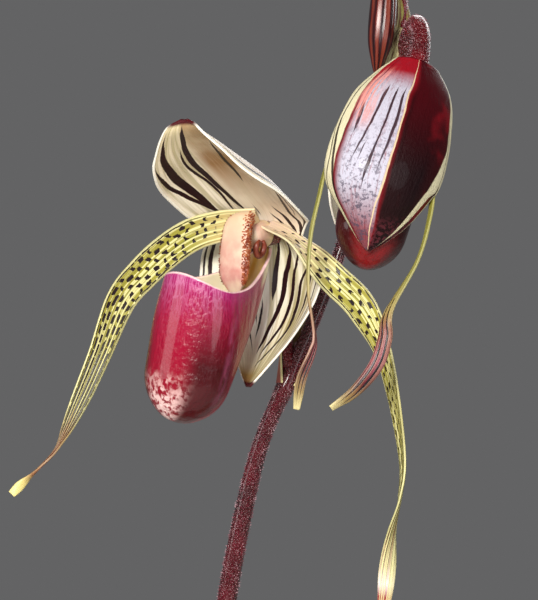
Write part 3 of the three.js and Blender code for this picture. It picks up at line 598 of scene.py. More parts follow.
def rotation(x, y, z):
    cx, sx, cy, sy, cz, sz = (f(a) for a in (x, y, z) for f in (math.cos, math.sin))
    about_x = np.array([[1, 0, 0], [0, cx, -sx], [0, sx, cx]])
    about_y = np.array([[cy, 0, sy], [0, 1, 0], [-sy, 0, cy]])
    about_z = np.array([[cz, -sz, 0], [sz, cz, 0], [0, 0, 1]])
    return about_x @ about_y @ about_z


# Turn and place of a bloom, so that -y is the way it faces
def bloom_frame(at, forward, up):
    y = -unit(np.array(forward, float))
    z = np.array(up, float)
    z = unit(z - z.dot(y) * y)
    return np.stack([np.cross(y, z), y, z], 1), at


# Number or colour inside a material, with arithmetic that adds the nodes for it
class Value:
    def __init__(self, paint, socket):
        self.paint = paint
        self.socket = socket

    def __add__(self, other):
        return self.paint.math("ADD", self, other)

    def __sub__(self, other):
        return self.paint.math("SUBTRACT", self, other)

    def __mul__(self, other):
        return self.paint.math("MULTIPLY", self, other)

    def __abs__(self):
        return self.paint.math("ABSOLUTE", self)

    # Smooth step from 0 at low to 1 at high
    def step(self, low, high):
        stops = dict(From_Min=low, From_Max=high)
        return self.paint.node("MapRange", interpolation_type="SMOOTHSTEP", Value=self, **stops)


# Material under construction: u runs along a surface and v across it, side is how far v is from the middle
class Paint:
    def __init__(self, name, **settings):
        self.material = bpy.data.materials.new(name)
        self.material.use_nodes = True
        self.tree = self.material.node_tree
        self.shader = self.tree.nodes["Principled BSDF"]
        self.feed(self.shader, settings)
        self.v, self.u, _ = self.split(self.node("UVMap", uv_map="place"))
        self.side = abs(self.v - 0.5)
        self.spot = self.node("TexCoord", output="Object")
        self.tone = None

    def feed(self, node, values):
        for socket in node.inputs:
            key = socket.identifier.replace(" ", "_")
            if key in values:
                self.wire(values[key], socket)

    def wire(self, value, socket):
        if isinstance(value, Value):
            self.tree.links.new(value.socket, socket)
        else:
            socket.default_value = colour(value) if isinstance(value, str) else value

    # New node's output: values go to its sockets in order, settings to its own settings or named sockets
    def node(self, kind, *values, output=0, **settings):
        made = self.tree.nodes.new("ShaderNode" + kind)
        for key, value in settings.items():
            if key.islower():
                setattr(made, key, value)
        for socket, value in zip(made.inputs, values):
            self.wire(value, socket)
        self.feed(made, settings)
        return Value(self, made.outputs[output])

    def split(self, vector):
        node = self.node("SeparateXYZ", vector).socket.node
        return [Value(self, socket) for socket in node.outputs]

    def vector(self, x, y=0.0):
        return self.node("CombineXYZ", x, y)

    def math(self, operation, *values):
        return self.node("Math", *values, operation=operation)

    # Number from x along a list of (place, value) stops
    def curve(self, x, stops):
        return self.tones(x, [(place, (value, value, value, 1)) for place, value in stops])

    # Colour from x along a list of (place, colour) stops
    def tones(self, x, stops, interpolation="LINEAR"):
        made = self.node("ValToRGB", x)
        ramp_of = made.socket.node.color_ramp
        ramp_of.interpolation = interpolation
        while len(ramp_of.elements) < len(stops):
            ramp_of.elements.new(1)
        for element, (place, tone) in zip(ramp_of.elements, stops):
            element.position = place
        for element, (place, tone) in zip(ramp_of.elements, stops):
            element.color = colour(tone) if isinstance(tone, str) else tone
        return made

    def mix(self, share, a, b):
        return self.node("Mix", output=2, data_type="RGBA", Factor_Float=share, A_Color=a, B_Color=b)

    # Covers a share of the tone so far with another
    def cover(self, share, tone):
        self.tone = self.mix(share, self.tone, tone)

    def noise(self, vector, scale, detail=2.0, rough=0.5):
        return self.node("TexNoise", Vector=vector, Scale=scale, Detail=detail, Roughness=rough)

    # Noise with so many waves across a surface and so many along it
    def grain(self, across, along, detail=2.0, rough=0.5):
        return self.noise(self.vector(self.v * across, self.u * along), 1.0, detail, rough)

    def cells(self, vector, scale, feature="F1", random=1.0):
        return self.node("TexVoronoi", feature=feature, Vector=vector, Scale=scale, Randomness=random)

    def bump(self, height, distance, strength):
        normal = self.node("Bump", Height=height, Distance=distance, Strength=strength)
        self.wire(normal, self.shader.inputs["Normal"])

    def done(self):
        self.wire(self.tone, self.shader.inputs["Base Color"])
        return self.material


# Linear colour from its six-digit code
def colour(code):
    channels = [int(code[i:i + 2], 16) / 255 for i in (0, 2, 4)]
    return (*[c / 12.92 if c <= 0.04045 else ((c + 0.055) / 1.055) ** 2.4 for c in channels], 1)


# Share of paint in stripes that follow the veins, each a list of knots
def stripes(p, x, paths, soft=0.006, wide=1.0):
    total = 0.0
    for path in paths:
        stops = [(along / 1000, (across / 1000, wide * half / 100, 0, 1)) for along, across, half in path]
        place, half, _ = p.split(p.tones(p.u, stops, "CARDINAL"))
        inside = (half * 0.1 - abs(x - place)).step(0.0, soft)
        total = p.math("MAXIMUM", total, inside)
    return total


# Rows of spots along a petal: each is (place across, phase, where along it starts)
def spot_rows(p, x, along, rows, half, duty):
    total = 0.0
    for place, phase, start in rows:
        beat = abs(p.math("FRACT", along + phase) - 0.5)
        inside = (half - abs(x - place)).step(0.0, 0.02) * (duty - beat).step(0.0, 0.05)
        total = p.math("MAXIMUM", total, inside * p.u.step(start, start + 0.01))
    return total


# How far round a pouch a place is: 0 at the front, 0.5 at the back
def around(p):
    return abs(p.math("FRACT", p.v + 0.5) - 0.5)


def leaf_paint():
    p = Paint("leaf", Roughness=0.38, Coat_Weight=0.15, Coat_Roughness=0.3, Subsurface_Weight=0.03,
              Subsurface_Radius=(0.002, 0.004, 0.001))
    veins = p.grain(90, 1.5)
    blotch = p.noise(p.spot, 55, 4)
    p.tone = p.tones(blotch, [(0.3, "234a1a"), (0.5, "336022"), (0.75, "4d7c30")])
    p.cover(veins.step(0.45, 0.7) * 0.35, "628f42")
    p.cover(p.side.step(0.025, 0.0), "8fae5c")
    p.cover(p.u.step(0.1, 0.0), "a9b678")
    p.cover(p.u.step(0.985, 1.0) * 0.8, "8a6a3a")
    p.bump(veins + blotch * 0.5, 0.0003, 0.5)
    return p.done()


def leaf_back_paint():
    p = Paint("leaf_back", Roughness=0.5, Subsurface_Weight=0.03)
    veins = p.grain(90, 1.5)
    p.tone = p.mix(veins, "4f7a3a", "7f9c5e")
    p.cover(p.side.step(0.04, 0.0), "9db070")
    p.bump(veins, 0.0003, 0.5)
    return p.done()


def clay_paint():
    p = Paint("clay", Roughness=0.9)
    fine = p.noise(p.spot, 900, 5, 0.7)
    broad = p.noise(p.spot, 28, 4)
    p.tone = p.tones(broad, [(0.3, "94492b"), (0.5, "b05d39"), (0.72, "c4764d")])
    p.cover(fine.step(0.5, 0.75) * 0.35, "74391f")
    bloom = p.noise(p.spot, 45, 6, 0.65)
    p.cover(bloom.step(0.56, 0.75) * 0.5, "dcc0a6")
    p.bump(fine + broad * 2, 0.0004, 0.6)
    return p.done()


def bark_paint():
    p = Paint("bark", Roughness=0.92)
    grain = p.noise(p.spot, 260, 6, 0.65)
    broad = p.noise(p.spot, 70, 3)
    p.tone = p.tones(broad, [(0.3, "3b2415"), (0.5, "6b4326"), (0.7, "8d6240"), (0.85, "a88361")])
    p.cover(grain.step(0.45, 0.7) * 0.6, "2a190e")
    p.bump(grain, 0.001, 0.8)
    return p.done()


def crown_paint():
    p = Paint("crown", Roughness=0.75)
    fibre = p.grain(40, 3, 3)
    p.tone = p.tones(fibre, [(0.3, "6e6a34"), (0.55, "9a9a5e"), (0.8, "8a6b40")])
    p.bump(fibre, 0.0006, 0.7)
    return p.done()


def stem_paint(name, dark, mid, light, speckle_and_glint):
    p = Paint(name, Roughness=0.26, Specular_IOR_Level=0.5, Coat_Weight=0.4, Coat_Roughness=0.1)
    grain = p.noise(p.spot, 900, 4, 0.6)
    lumps = p.cells(p.spot, 1000)
    broad = p.noise(p.spot, 90, 3)
    p.tone = p.tones(broad, [(0.3, dark), (0.52, mid), (0.78, light)])
    # Pink speckles on the lumps: partly the stem's own colour, partly painted glints
    p.cover(lumps.step(0.42, 0.1) * speckle_and_glint, "9c3c54")
    p.bump(grain - lumps, 0.0009, 1.0)
    return p.done()


# Hairs: pale pink at random, partly their own colour, partly painted glints
def hair_paint():
    p = Paint("hair", Roughness=0.4)
    p.tone = p.mix(p.noise(p.spot, 300).step(0.35, 0.65), "7a2c3c", "dcaeb8")
    return p.done()


def bract_paint(name, foot, middle, top, streak):
    p = Paint(name, Roughness=0.5, Sheen_Weight=0.1)
    veins = p.grain(38, 1.5, 3)
    p.tone = p.tones(p.u, [(0, foot), (0.4, middle), (0.85, top), (1, "d8cc8e")])
    p.cover(veins.step(0.5, 0.6), streak)
    p.cover(p.side.step(0.45, 0.49), "d8cc94")
    p.bump(veins, 0.0004, 0.6)
    return p.done()


def bud_paint():
    p = Paint("bud", Roughness=0.34, Specular_IOR_Level=0.35, Coat_Weight=0.2, Coat_Roughness=0.2)
    ribs = p.math("SINE", p.v * (2 * math.pi * BUD_RIBS))
    share = ribs * 0.3 + p.grain(20, 3, 2)
    p.tone = p.tones(share, [(0.3, "743020"), (0.46, "64180f"), (0.6, "380608"), (0.85, "200206")])
    p.cover(p.u.step(0.08, 0.0), "b89a50")
    p.bump(share, 0.0004, 0.5)
    return p.done()


# Sepal: cream with a darker middle that is partly painted shade, stripes, a pale margin and a dark tip
def sepal_paint(name, paths, base, middle_tint_and_shade, green):
    p = Paint(name, Roughness=0.42, Specular_IOR_Level=0.3, Subsurface_Weight=0.04,
              Subsurface_Radius=(0.002, 0.0015, 0.001))
    wander = p.grain(3, 5, 3)
    fine = p.grain(60, 40, 2)
    x = p.v + (wander - 0.5) * 0.008 + (fine - 0.5) * 0.006
    p.tone = p.tones(p.u, base)
    shade = p.noise(p.spot, 60, 3)
    # Darker middle of the blade: partly its own tint, partly painted shade where the blade curves
    middle = p.v.step(middle_tint_and_shade[0], middle_tint_and_shade[1]) * p.v.step(middle_tint_and_shade[3], middle_tint_and_shade[2])
    middle = middle * p.curve(p.u, [(0, 0), (0.25, 0.35), (0.6, 1), (0.95, 0.8)])
    p.cover(middle * shade.step(0.15, 0.6), middle_tint_and_shade[4])
    bands = p.grain(24, 1.2, 2)
    p.cover(bands.step(0.42, 0.6) * p.curve(p.v, green), "94884e")
    veins = p.grain(70, 3)
    p.cover(veins.step(0.5, 0.7) * 0.25, "c8a890")
    p.cover(stripes(p, x, paths, wide=1.55), "20040a")
    p.cover(p.side.step(0.478, 0.488), "f4eee0")
    p.cover(p.u.step(0.965, 0.985), "4a0a12")
    p.bump(veins, 0.0003, 0.5)
    return p.done()


SPOTS_ALONG = 30


# Petal: green with pale bands along it, rows of dark spots that run into lines, and lines by its margins
def petal_paint(name, base, rows, spots, wash):
    p = Paint(name, Roughness=0.36, Specular_IOR_Level=0.35, Subsurface_Weight=0.04,
              Subsurface_Radius=(0.002, 0.002, 0.001))
    p.tone = p.tones(p.u, base)
    bands = p.grain(13, 2, 1)
    p.cover(bands.step(0.46, 0.58) * p.curve(p.u, wash[0]), "e9e3a4")
    dark = p.noise(p.vector(p.v * 17 + 40.0, p.u * 2), 1.0, 1)
    p.cover(dark.step(0.52, 0.62) * p.curve(p.u, wash[1]), "77762a")
    jog = p.grain(5, 30, 2)
    x = p.v + (jog - 0.5) * p.curve(p.u, [(0.3, 0.09), (0.5, 0.025)])
    along = p.u * SPOTS_ALONG + jog * 1.3
    mark = spot_rows(p, x, along, rows, p.curve(p.u, spots[0]), p.curve(p.u, spots[1]))
    edge = abs(x - 0.5)
    broken = p.grain(2, 60, 1).step(0.36, 0.44)
    line = edge.step(0.4, 0.415) * edge.step(0.455, 0.44) * broken
    mark = p.math("MAXIMUM", mark, line * p.curve(p.u, wash[2]))
    p.cover(mark, "18030a")
    p.cover(p.side.step(0.455, 0.475) * p.curve(p.u, wash[3]), "efe8bc")
    p.bump(bands - mark * 0.4, 0.0004, 0.6)
    return p.done()


# Pouch: darker down its body, painted shade on both flanks, a fine pale net near its lip, a pale crease on
# each side and a mottled toe
def pouch_paint(name, body, flank_shade, veins, toe, crease, rim):
    p = Paint(name, Roughness=0.34, Specular_IOR_Level=0.2, Coat_Weight=0.4, Coat_Roughness=0.08)
    turn = around(p)
    p.tone = p.tones(p.u, body)
    # Painted shade: both flanks of the pouch are darkened, most down its body
    side = turn.step(0.05, 0.14) * turn.step(0.32, 0.25)
    p.cover(side * p.curve(p.u, [(0, 0), (0.2, 0.2), (0.5, 0.95), (1, 0.85)]), flank_shade)
    net = p.cells(p.vector(p.v * 84, p.u * 15), 1.0, "DISTANCE_TO_EDGE", 0.9)
    pale = p.curve(p.u, [(0, 0.5), (0.1, 0.26), (0.22, 0.06), (0.4, 0), (1, 0)]) * turn.step(0.26, 0.12)
    p.cover(net.step(0.16, 0.04) * pale, veins)
    streak = p.grain(30, 9, 3)
    fold = abs(turn - 0.25).step(0.028, 0.004) * streak.step(0.3, 0.55)
    p.cover(fold * p.curve(p.u, crease), "a4486c")
    mottle = p.noise(p.spot, 520, 3, 0.6)
    patch = turn.step(0.15, 0.04) * (p.u + streak * 0.3).step(0.7, 0.95)
    p.cover(mottle.step(0.4, 0.56) * patch * toe, "e6c0bc")
    p.cover(turn.step(0.36, 0.4) * p.u.step(0.13, 0.07), "eadfc0")
    p.cover(p.u.step(0.012, 0.004), rim)
    p.bump(net * 0.5 + p.noise(p.spot, 420, 3) * 1.5, 0.0005, 0.8)
    return p.done()


# Outside of the hanging bloom's hood: a pale keel, dark red, a painted bluish-white sheen over the left
# flank, painted shade that darkens the right flank, and pale margins
def hood_paint():
    p = Paint("hood", Roughness=0.45, Specular_IOR_Level=0.12, Coat_Weight=0.06, Coat_Roughness=0.08)
    jog = p.grain(9, 7, 3)
    x = p.v + (jog - 0.5) * 0.03
    # Past the keel the right flank is painted far darker than the left, as painted shade
    p.tone = p.tones(x, [(0, "6a0a14"), (0.47, "7c0c18"), (0.52, "1c0104"), (0.75, "140104"), (1, "3a0408")])
    p.cover(p.u.step(0.26, 0.1) * x.step(0.6, 0.45), "96101e")
    streak = p.grain(42, 3, 4, 0.65)
    fine = p.grain(70, 40, 4, 0.7)
    left = x.step(0.1, 0.17) * x.step(0.485, 0.465)
    # Painted sheen: a streaked bluish-white highlight over the left flank, faded towards the base and tip
    painted_sheen = left * p.curve(p.u, [(0.1, 0), (0.22, 0.85), (0.7, 0.9), (0.8, 0.5), (0.92, 0.1)])
    p.cover(painted_sheen * (streak * 0.6 + fine * 0.4).step(0.3, 0.5), "c6c6d6")
    p.cover(stripes(p, x, HOOD_STREAKS, wide=1.15) * 0.95, "2c0410")
    speck = p.noise(p.spot, 620, 4, 0.7).step(0.5, 0.6) * left
    p.cover(speck * p.curve(p.u, [(0.35, 0.1), (0.55, 0.5), (0.8, 0.85)]), "4c4454")
    salmon = x.step(0.08, 0.12) * x.step(0.3, 0.2) * p.u.step(0.5, 0.36)
    p.cover(salmon * p.u.step(0.06, 0.16) * streak.step(0.44, 0.56), "dc9088")
    # Painted shade: darker still just right of the keel towards the top
    p.cover(x.step(0.49, 0.56) * p.u.step(0.62, 0.15), "40020a")
    p.cover(x.step(0.6, 0.7) * p.noise(p.spot, 90, 2).step(0.5, 0.65) * 0.7, "7a0c18")
    p.cover(p.u.step(0.8, 0.9) * p.noise(p.spot, 900, 3).step(0.45, 0.6) * 0.3, "8a3c48")
    p.cover(stripes(p, x, HOOD_MARGINS, 0.012), "d4ccaa")
    p.cover(stripes(p, x, HOOD_EDGE_LINES, 0.006) * 0.95, "1c0508")
    p.cover(stripes(p, x, HOOD_KEEL, 0.006, 0.8), "d8c09a")
    p.bump(streak * 0.6 + fine * 0.7, 0.0007, 0.7)
    return p.done()


COLUMN_TONES = [
    (0, "e4cf9a"), (0.12, "e4c89e"), (0.25, "dcbc9c"), (0.6, "d6ac98"), (0.85, "c88c82"), (1, "dec6ac"),
]


# Column: a pink stain towards the shield's foot
def column_paint():
    p = Paint("column", Roughness=0.5, Subsurface_Weight=0.05)
    grain = p.noise(p.spot, 180, 4)
    p.tone = p.tones(p.u, COLUMN_TONES)
    p.cover(grain.step(0.45, 0.65) * p.u.step(0.25, 0.8) * 0.55, "c06a62")
    p.cover(grain.step(0.5, 0.3) * 0.5, "e6ceb0")
    p.bump(grain, 0.0003, 0.5)
    return p.done()


def plain_paint(name, tones, scale=120, **settings):
    p = Paint(name, **settings)
    grain = p.noise(p.spot, scale, 4)
    p.tone = p.tones(grain, tones)
    p.bump(grain, 0.0003, 0.5)
    return p.done()


# Inside of a pouch: cream and yellow at its back, under the column, and rosy in front
def pouch_inside_paint():
    p = Paint("pouch_inside", Roughness=0.4, Subsurface_Weight=0.04)
    grain = p.noise(p.spot, 260, 4)
    turn = around(p)
    p.tone = p.tones(grain, [(0.3, "b87484"), (0.7, "e0c0b4")])
    p.cover(turn.step(0.24, 0.34), "f2e6c4")
    p.cover(turn.step(0.4, 0.46) * p.u.step(0.3, 0.1), "dcae4c")
    p.bump(grain, 0.0003, 0.5)
    return p.done()


LEAF = leaf_paint()
LEAF_BACK = leaf_back_paint()
CLAY = clay_paint()
BARK = bark_paint()
CROWN = crown_paint()
STEM = stem_paint("stem", "2c020a", "4c0410", "64081a", 0.3)
STALK = stem_paint("stalk", "4a020a", "680410", "86081c", 0.1)
HAIR = hair_paint()
BRACT_PAINTS = {
    "bract_open": bract_paint("bract_foot", "8a3428", "a06a48", "a89a58", "6e1c22"),
    "bract_half": bract_paint("bract_olive", "8c8440", "b8b078", "cfc694", "5a2a1c"),
    "bract_bud": bract_paint("bract_green", "8c7c34", "98923e", "a8a048", "7a3a28"),
}
BUD = bud_paint()

# Stripes: knots of place along, place across and half width, in thousandths of the blade
DORSAL_STRIPES = [
    [(150, 190, 0), (240, 180, 8), (370, 130, 12), (520, 80, 12), (700, 45, 10), (860, 10, 0)],
    [(100, 190, 0), (290, 180, 14), (420, 165, 20), (580, 140, 22), (730, 125, 21), (880, 95, 18),
     (970, 75, 0)],
    [(120, 370, 0), (220, 355, 9), (380, 335, 12), (540, 315, 15), (680, 305, 17), (820, 330, 19),
     (930, 380, 20), (980, 420, 0)],
    [(150, 290, 0), (220, 290, 6), (340, 305, 8), (480, 290, 9), (620, 255, 9), (750, 260, 7),
     (830, 290, 0)],
    [(400, 530, 0), (470, 535, 8), (660, 545, 12), (800, 600, 8), (880, 660, 0)],
    [(100, 820, 0), (260, 840, 9), (560, 840, 9), (680, 790, 8), (850, 720, 0)],
    [(20, 970, 20), (100, 860, 18), (160, 770, 15), (340, 790, 11), (420, 800, 0)],
    [(0, 900, 20), (60, 780, 18), (140, 660, 12), (220, 600, 0)],
    [(0, 800, 17), (50, 700, 14), (100, 600, 9), (160, 540, 0)],
    [(60, 980, 14), (160, 930, 14), (300, 900, 12), (450, 920, 0)],
    [(100, 460, 0), (150, 455, 5), (240, 450, 0)],
    [(300, 950, 0), (400, 950, 10), (800, 945, 10), (930, 930, 0)],
]
SYNSEPAL_STRIPES = [
    [(20, 985, 5), (200, 975, 7), (450, 970, 0)],
    [(20, 940, 8), (150, 935, 10), (250, 930, 10), (500, 900, 0)],
    [(20, 840, 8), (200, 840, 12), (500, 800, 10), (800, 700, 0)],
    [(20, 740, 10), (200, 740, 14), (500, 710, 12), (850, 640, 0)],
    [(20, 650, 8), (200, 650, 12), (450, 630, 10), (600, 620, 0)],
    [(360, 575, 0), (460, 580, 7), (600, 605, 7), (700, 630, 0)],
    [(0, 430, 5), (30, 440, 9), (190, 465, 13), (350, 485, 14), (430, 500, 0)],
    [(0, 300, 6), (100, 350, 12), (220, 385, 15), (420, 420, 16), (570, 485, 15), (700, 540, 12),
     (800, 600, 0)],
    [(10, 220, 5), (100, 280, 8), (210, 320, 9), (440, 335, 13), (610, 380, 14), (710, 460, 12),
     (820, 540, 0)],
    [(20, 110, 6), (160, 200, 9), (320, 255, 10), (500, 260, 14), (660, 275, 14), (810, 450, 12),
     (900, 580, 0)],
    [(50, 100, 5), (140, 170, 8), (410, 170, 10), (520, 175, 8), (640, 180, 0)],
    [(100, 80, 0), (200, 100, 6), (500, 80, 7), (700, 100, 6), (850, 200, 0)],
]
HOOD_STREAKS = [
    [(200, 365, 0), (260, 368, 10), (400, 370, 10), (510, 355, 9), (630, 345, 13), (740, 330, 0)],
    [(200, 285, 0), (270, 285, 12), (390, 275, 10), (450, 260, 10), (580, 230, 6), (660, 210, 0)],
    [(240, 150, 6), (310, 155, 12), (430, 175, 12), (520, 170, 0)],
    [(180, 430, 0), (260, 430, 10), (420, 440, 12), (600, 420, 6), (700, 410, 0)],
    [(500, 280, 0), (560, 270, 6), (660, 260, 0)],
    [(340, 80, 0), (400, 90, 6), (540, 100, 6), (620, 120, 0)],
]
HOOD_MARGINS = [
    [(0, 0, 60), (200, 0, 90), (500, 0, 110), (650, 0, 170), (800, 0, 200), (880, 0, 120), (1000, 0, 40)],
    [(0, 1000, 50), (200, 1000, 60), (400, 1000, 60), (550, 940, 60), (700, 880, 50), (850, 820, 40),
     (1000, 800, 0)],
    [(400, 1000, 20), (600, 1000, 30), (900, 1000, 50)],
]
HOOD_EDGE_LINES = [
    [(50, 60, 0), (100, 55, 6), (420, 30, 9), (600, 65, 13), (770, 100, 12), (910, 80, 8), (970, 80, 0)],
    [(400, 0, 4), (500, 18, 6), (640, 40, 7), (820, 10, 6), (900, 0, 0)],
    [(20, 950, 4), (300, 955, 6), (500, 970, 6), (700, 950, 6), (900, 900, 0)],
]
HOOD_KEEL = [
    [(0, 485, 8), (200, 470, 11), (380, 480, 11), (530, 480, 12), (710, 475, 12), (900, 430, 12),
     (1000, 450, 20)],
]
CREAM_TONES = [(0, "ecdcc8"), (0.3, "efe6d2"), (0.7, "ece0c8"), (1, "d8c8a0")]
WHITE_TONES = [
    (0, "e4e0c8"), (0.3, "ece8d8"), (0.6, "f2efe4"), (0.85, "e6dfc4"), (0.93, "b09050"), (1, "7a3020"),
]
DORSAL = sepal_paint("dorsal_inside", DORSAL_STRIPES, CREAM_TONES, (0.3, 0.42, 0.92, 0.985, "946c42"),
                     [(0, 0.6), (0.3, 0.6), (0.4, 0.1), (1, 0.1)])
DORSAL_BACK = sepal_paint("dorsal_outside", DORSAL_STRIPES, CREAM_TONES, (0.1, 0.3, 0.9, 0.98, "a48260"),
                          [(0, 0.3), (1, 0.3)])
SYNSEPAL = sepal_paint("synsepal_inside", SYNSEPAL_STRIPES, WHITE_TONES, (0.0, 0.2, 0.4, 0.5, "d8cfa4"),
                       [(0, 0.8), (0.5, 0.7), (0.6, 0.15), (1, 0.3)])
SYNSEPAL_BACK = sepal_paint("synsepal_outside", SYNSEPAL_STRIPES, WHITE_TONES, (0.1, 0.3, 0.7, 0.9, "cdb89a"),
                            [(0, 0.3), (1, 0.3)])
# Petals: tones along the blade, rows of spots, half height and length of the spots along the blade,
# and along it too the shares of pale bands, dark bands, margin lines and pale margins
PETAL_TONES = [
    (0, "cdb898"), (0.08, "c0aa70"), (0.18, "9c9438"), (0.5, "928a30"), (0.72, "827830"),
    (0.8, "8a5a2c"), (0.86, "6c2618"), (0.93, "8a5230"), (0.96, "e0cc7c"), (1, "ecdc90"),
]
PETAL_ROWS = [(0.83, 0.1, 0.06), (0.68, 0.55, 0.08), (0.5, 0.0, 0.1), (0.32, 0.62, 0.1), (0.16, 0.4, 0.2)]
PETAL_WASH = (
    [(0, 0.2), (0.12, 0.8), (0.7, 0.85), (0.8, 0.2), (1, 0.1)],
    [(0, 0), (0.15, 0.75), (0.75, 0.8), (0.85, 0)],
    [(0, 0), (0.12, 0.3), (0.2, 1), (0.8, 0.95), (0.85, 0)],
    [(0, 0.5), (0.3, 0.4), (0.6, 0.25), (0.8, 0.1), (1, 0)],
)
PETAL_SPOTS = (
    [(0, 0.05), (0.1, 0.07), (0.3, 0.075), (0.45, 0.062), (0.55, 0.052), (0.8, 0.052), (0.9, 0)],
    [(0, 0.17), (0.3, 0.2), (0.42, 0.26), (0.52, 0.38), (0.6, 0.5), (1, 0.6)],
)
PETAL = petal_paint("petal", PETAL_TONES, PETAL_ROWS, PETAL_SPOTS, PETAL_WASH)
# Right petal: the pale stops near the tip, at 0.88 and 0.92, are partly its own colour and partly painted
# sheen where it twists
RIGHT_TONES = [
    (0, "dcc0b0"), (0.12, "d0b898"), (0.22, "9c943c"), (0.5, "948c34"), (0.72, "8a7c36"),
    (0.8, "8c6c38"), (0.88, "c4b08c"), (0.92, "ecdcd8"), (0.95, "90202c"), (1, "5a0612"),
]
RIGHT_WASH = (
    [(0, 0.2), (0.12, 0.8), (1, 0.8)],
    [(0, 0), (0.15, 0.7), (0.8, 0.7), (0.9, 0)],
    [(0, 0), (0.12, 0.3), (0.2, 1), (0.8, 0.9), (0.9, 0)],
    [(0, 0.5), (0.3, 0.4), (0.6, 0.25), (1, 0.1)],
)
RIGHT_ROWS = [(0.82, 0.1, 0.02), (0.64, 0.55, 0.03), (0.44, 0.0, 0.04), (0.22, 0.62, 0.05)]
RIGHT_SPOTS = (
    [(0, 0.04), (0.1, 0.06), (0.3, 0.07), (0.45, 0.06), (0.7, 0.045), (0.82, 0.03), (0.9, 0.015), (1, 0)],
    [(0, 0.15), (0.3, 0.19), (0.5, 0.22), (0.66, 0.34), (0.76, 0.5), (1, 0.6)],
)
RIGHT_PETAL = petal_paint("right_petal", RIGHT_TONES, RIGHT_ROWS, RIGHT_SPOTS, RIGHT_WASH)
STRAND_TONES = [
    (0, "a6a044"), (0.3, "8e8a32"), (0.6, "7c782a"), (0.7, "96804a"), (0.75, "742c22"),
    (0.83, "8e4450"), (0.9, "5e101c"), (0.955, "8a7040"), (1, "d4c68e"),
]
STRAND_WASH = (
    [(0, 0.3), (0.6, 0.25), (0.75, 0.1), (0.95, 0.08), (1, 0.1)],
    [(0, 0.4), (0.6, 0.4), (0.72, 0)],
    [(0, 0), (0.66, 0), (0.74, 0.7), (0.96, 0.5), (1, 0)],
    [(0, 0.2), (0.7, 0.15), (1, 0.1)],
)
STRAND_ROWS = [(0.3, 0.2, 0.66), (0.65, 0.6, 0.66)]
STRAND_SPOTS = ([(0, 0.02), (0.7, 0.06), (0.9, 0.09), (1, 0)], [(0, 0.1), (0.7, 0.5), (1, 0.6)])
HALF_PETAL = petal_paint("half_petal", STRAND_TONES, STRAND_ROWS, STRAND_SPOTS, STRAND_WASH)
POUCH = pouch_paint(
    "pouch",
    [(0, "a01c68"), (0.1, "981048"), (0.25, "94022e"), (0.6, "880020"), (0.85, "80001c"), (1, "820820")],
    "3a0006", "c87aa4", 1.0, [(0, 0.3), (0.3, 0.55), (0.6, 0.35), (0.75, 0)], "f0c8c8")
YOUNG_POUCH = pouch_paint(
    "young_pouch", [(0, "6e020a"), (0.5, "74020a"), (1, "760208")],
    "2c0104", "94203a", 0.0, [(0, 0.1), (1, 0.1)], "8c2030")
POUCH_INSIDE = pouch_inside_paint()
HOOD = hood_paint()
HOOD_INSIDE = plain_paint("hood_inside", [(0.3, "d8c8a8"), (0.7, "ece4cf")], Roughness=0.5)
COLUMN = column_paint()
ANTHER = plain_paint("anther", [(0.3, "4c1a12"), (0.6, "7c3420"), (0.8, "b0703c")], 300, Roughness=0.4)
PAPILLA = plain_paint("papilla", [(0.3, "70240e"), (0.5, "9c441c"), (0.7, "c47c48")], 500, Roughness=0.5)


# Round form about the pot's axis
def add_round(shape, outline, sides):
    angle = np.linspace(0, 2 * math.pi, sides, endpoint=False)
    radius, z = np.array(outline, float).T[..., None]
    add_rings(shape, np.stack([radius * np.cos(angle), radius * np.sin(angle), z * np.ones(sides)], -1))


# Outline with its straight runs divided
def divided(outline, longest):
    out = [outline[0]]
    for a, b in zip(outline, outline[1:]):
        steps = max(1, math.ceil(math.dist(a, b) / longest))
        out += [[a[k] + (b[k] - a[k]) * i / steps for k in (0, 1)] for i in range(1, steps + 1)]
    return out


def make_pot():
    band_foot = POT_HEIGHT - POT_BAND
    shoulder = POT_RIM - 4.5
    inside = POT_RIM - POT_WALL
    outline = [
        [0.01, 0], [POT_FOOT, 0], [POT_FOOT + 0.6, 0.4], [POT_FOOT + 1, 1.5], [shoulder, band_foot],
        [shoulder + 0.6, band_foot + 0.3], [POT_RIM - 1.4, band_foot + 0.7], [POT_RIM - 1, band_foot + 1.4],
        [POT_RIM - 0.1, POT_HEIGHT - 2.2], [POT_RIM - 0.3, POT_HEIGHT - 1], [POT_RIM - 1.2, POT_HEIGHT - 0.1],
        [POT_RIM - 2, POT_HEIGHT], [inside, POT_HEIGHT], [inside - 0.9, POT_HEIGHT - 0.4],
        [inside - 1.5, POT_HEIGHT - 2], [POT_FOOT - POT_WALL + 2, POT_FLOOR + 1.5],
        [POT_FOOT - POT_WALL, POT_FLOOR], [0.01, POT_FLOOR],
    ]
    shape = Shape()
    add_round(shape, divided(outline, 6), 128)
    shape.make("clay_pot", [CLAY], "clay", "pot")


# Repeatable random numbers, as the bark's solid has them
def dice(seed):
    state = seed
    while True:
        state = (state * 1664525 + 1013904223) % 4294967296
        yield state / 4294967296


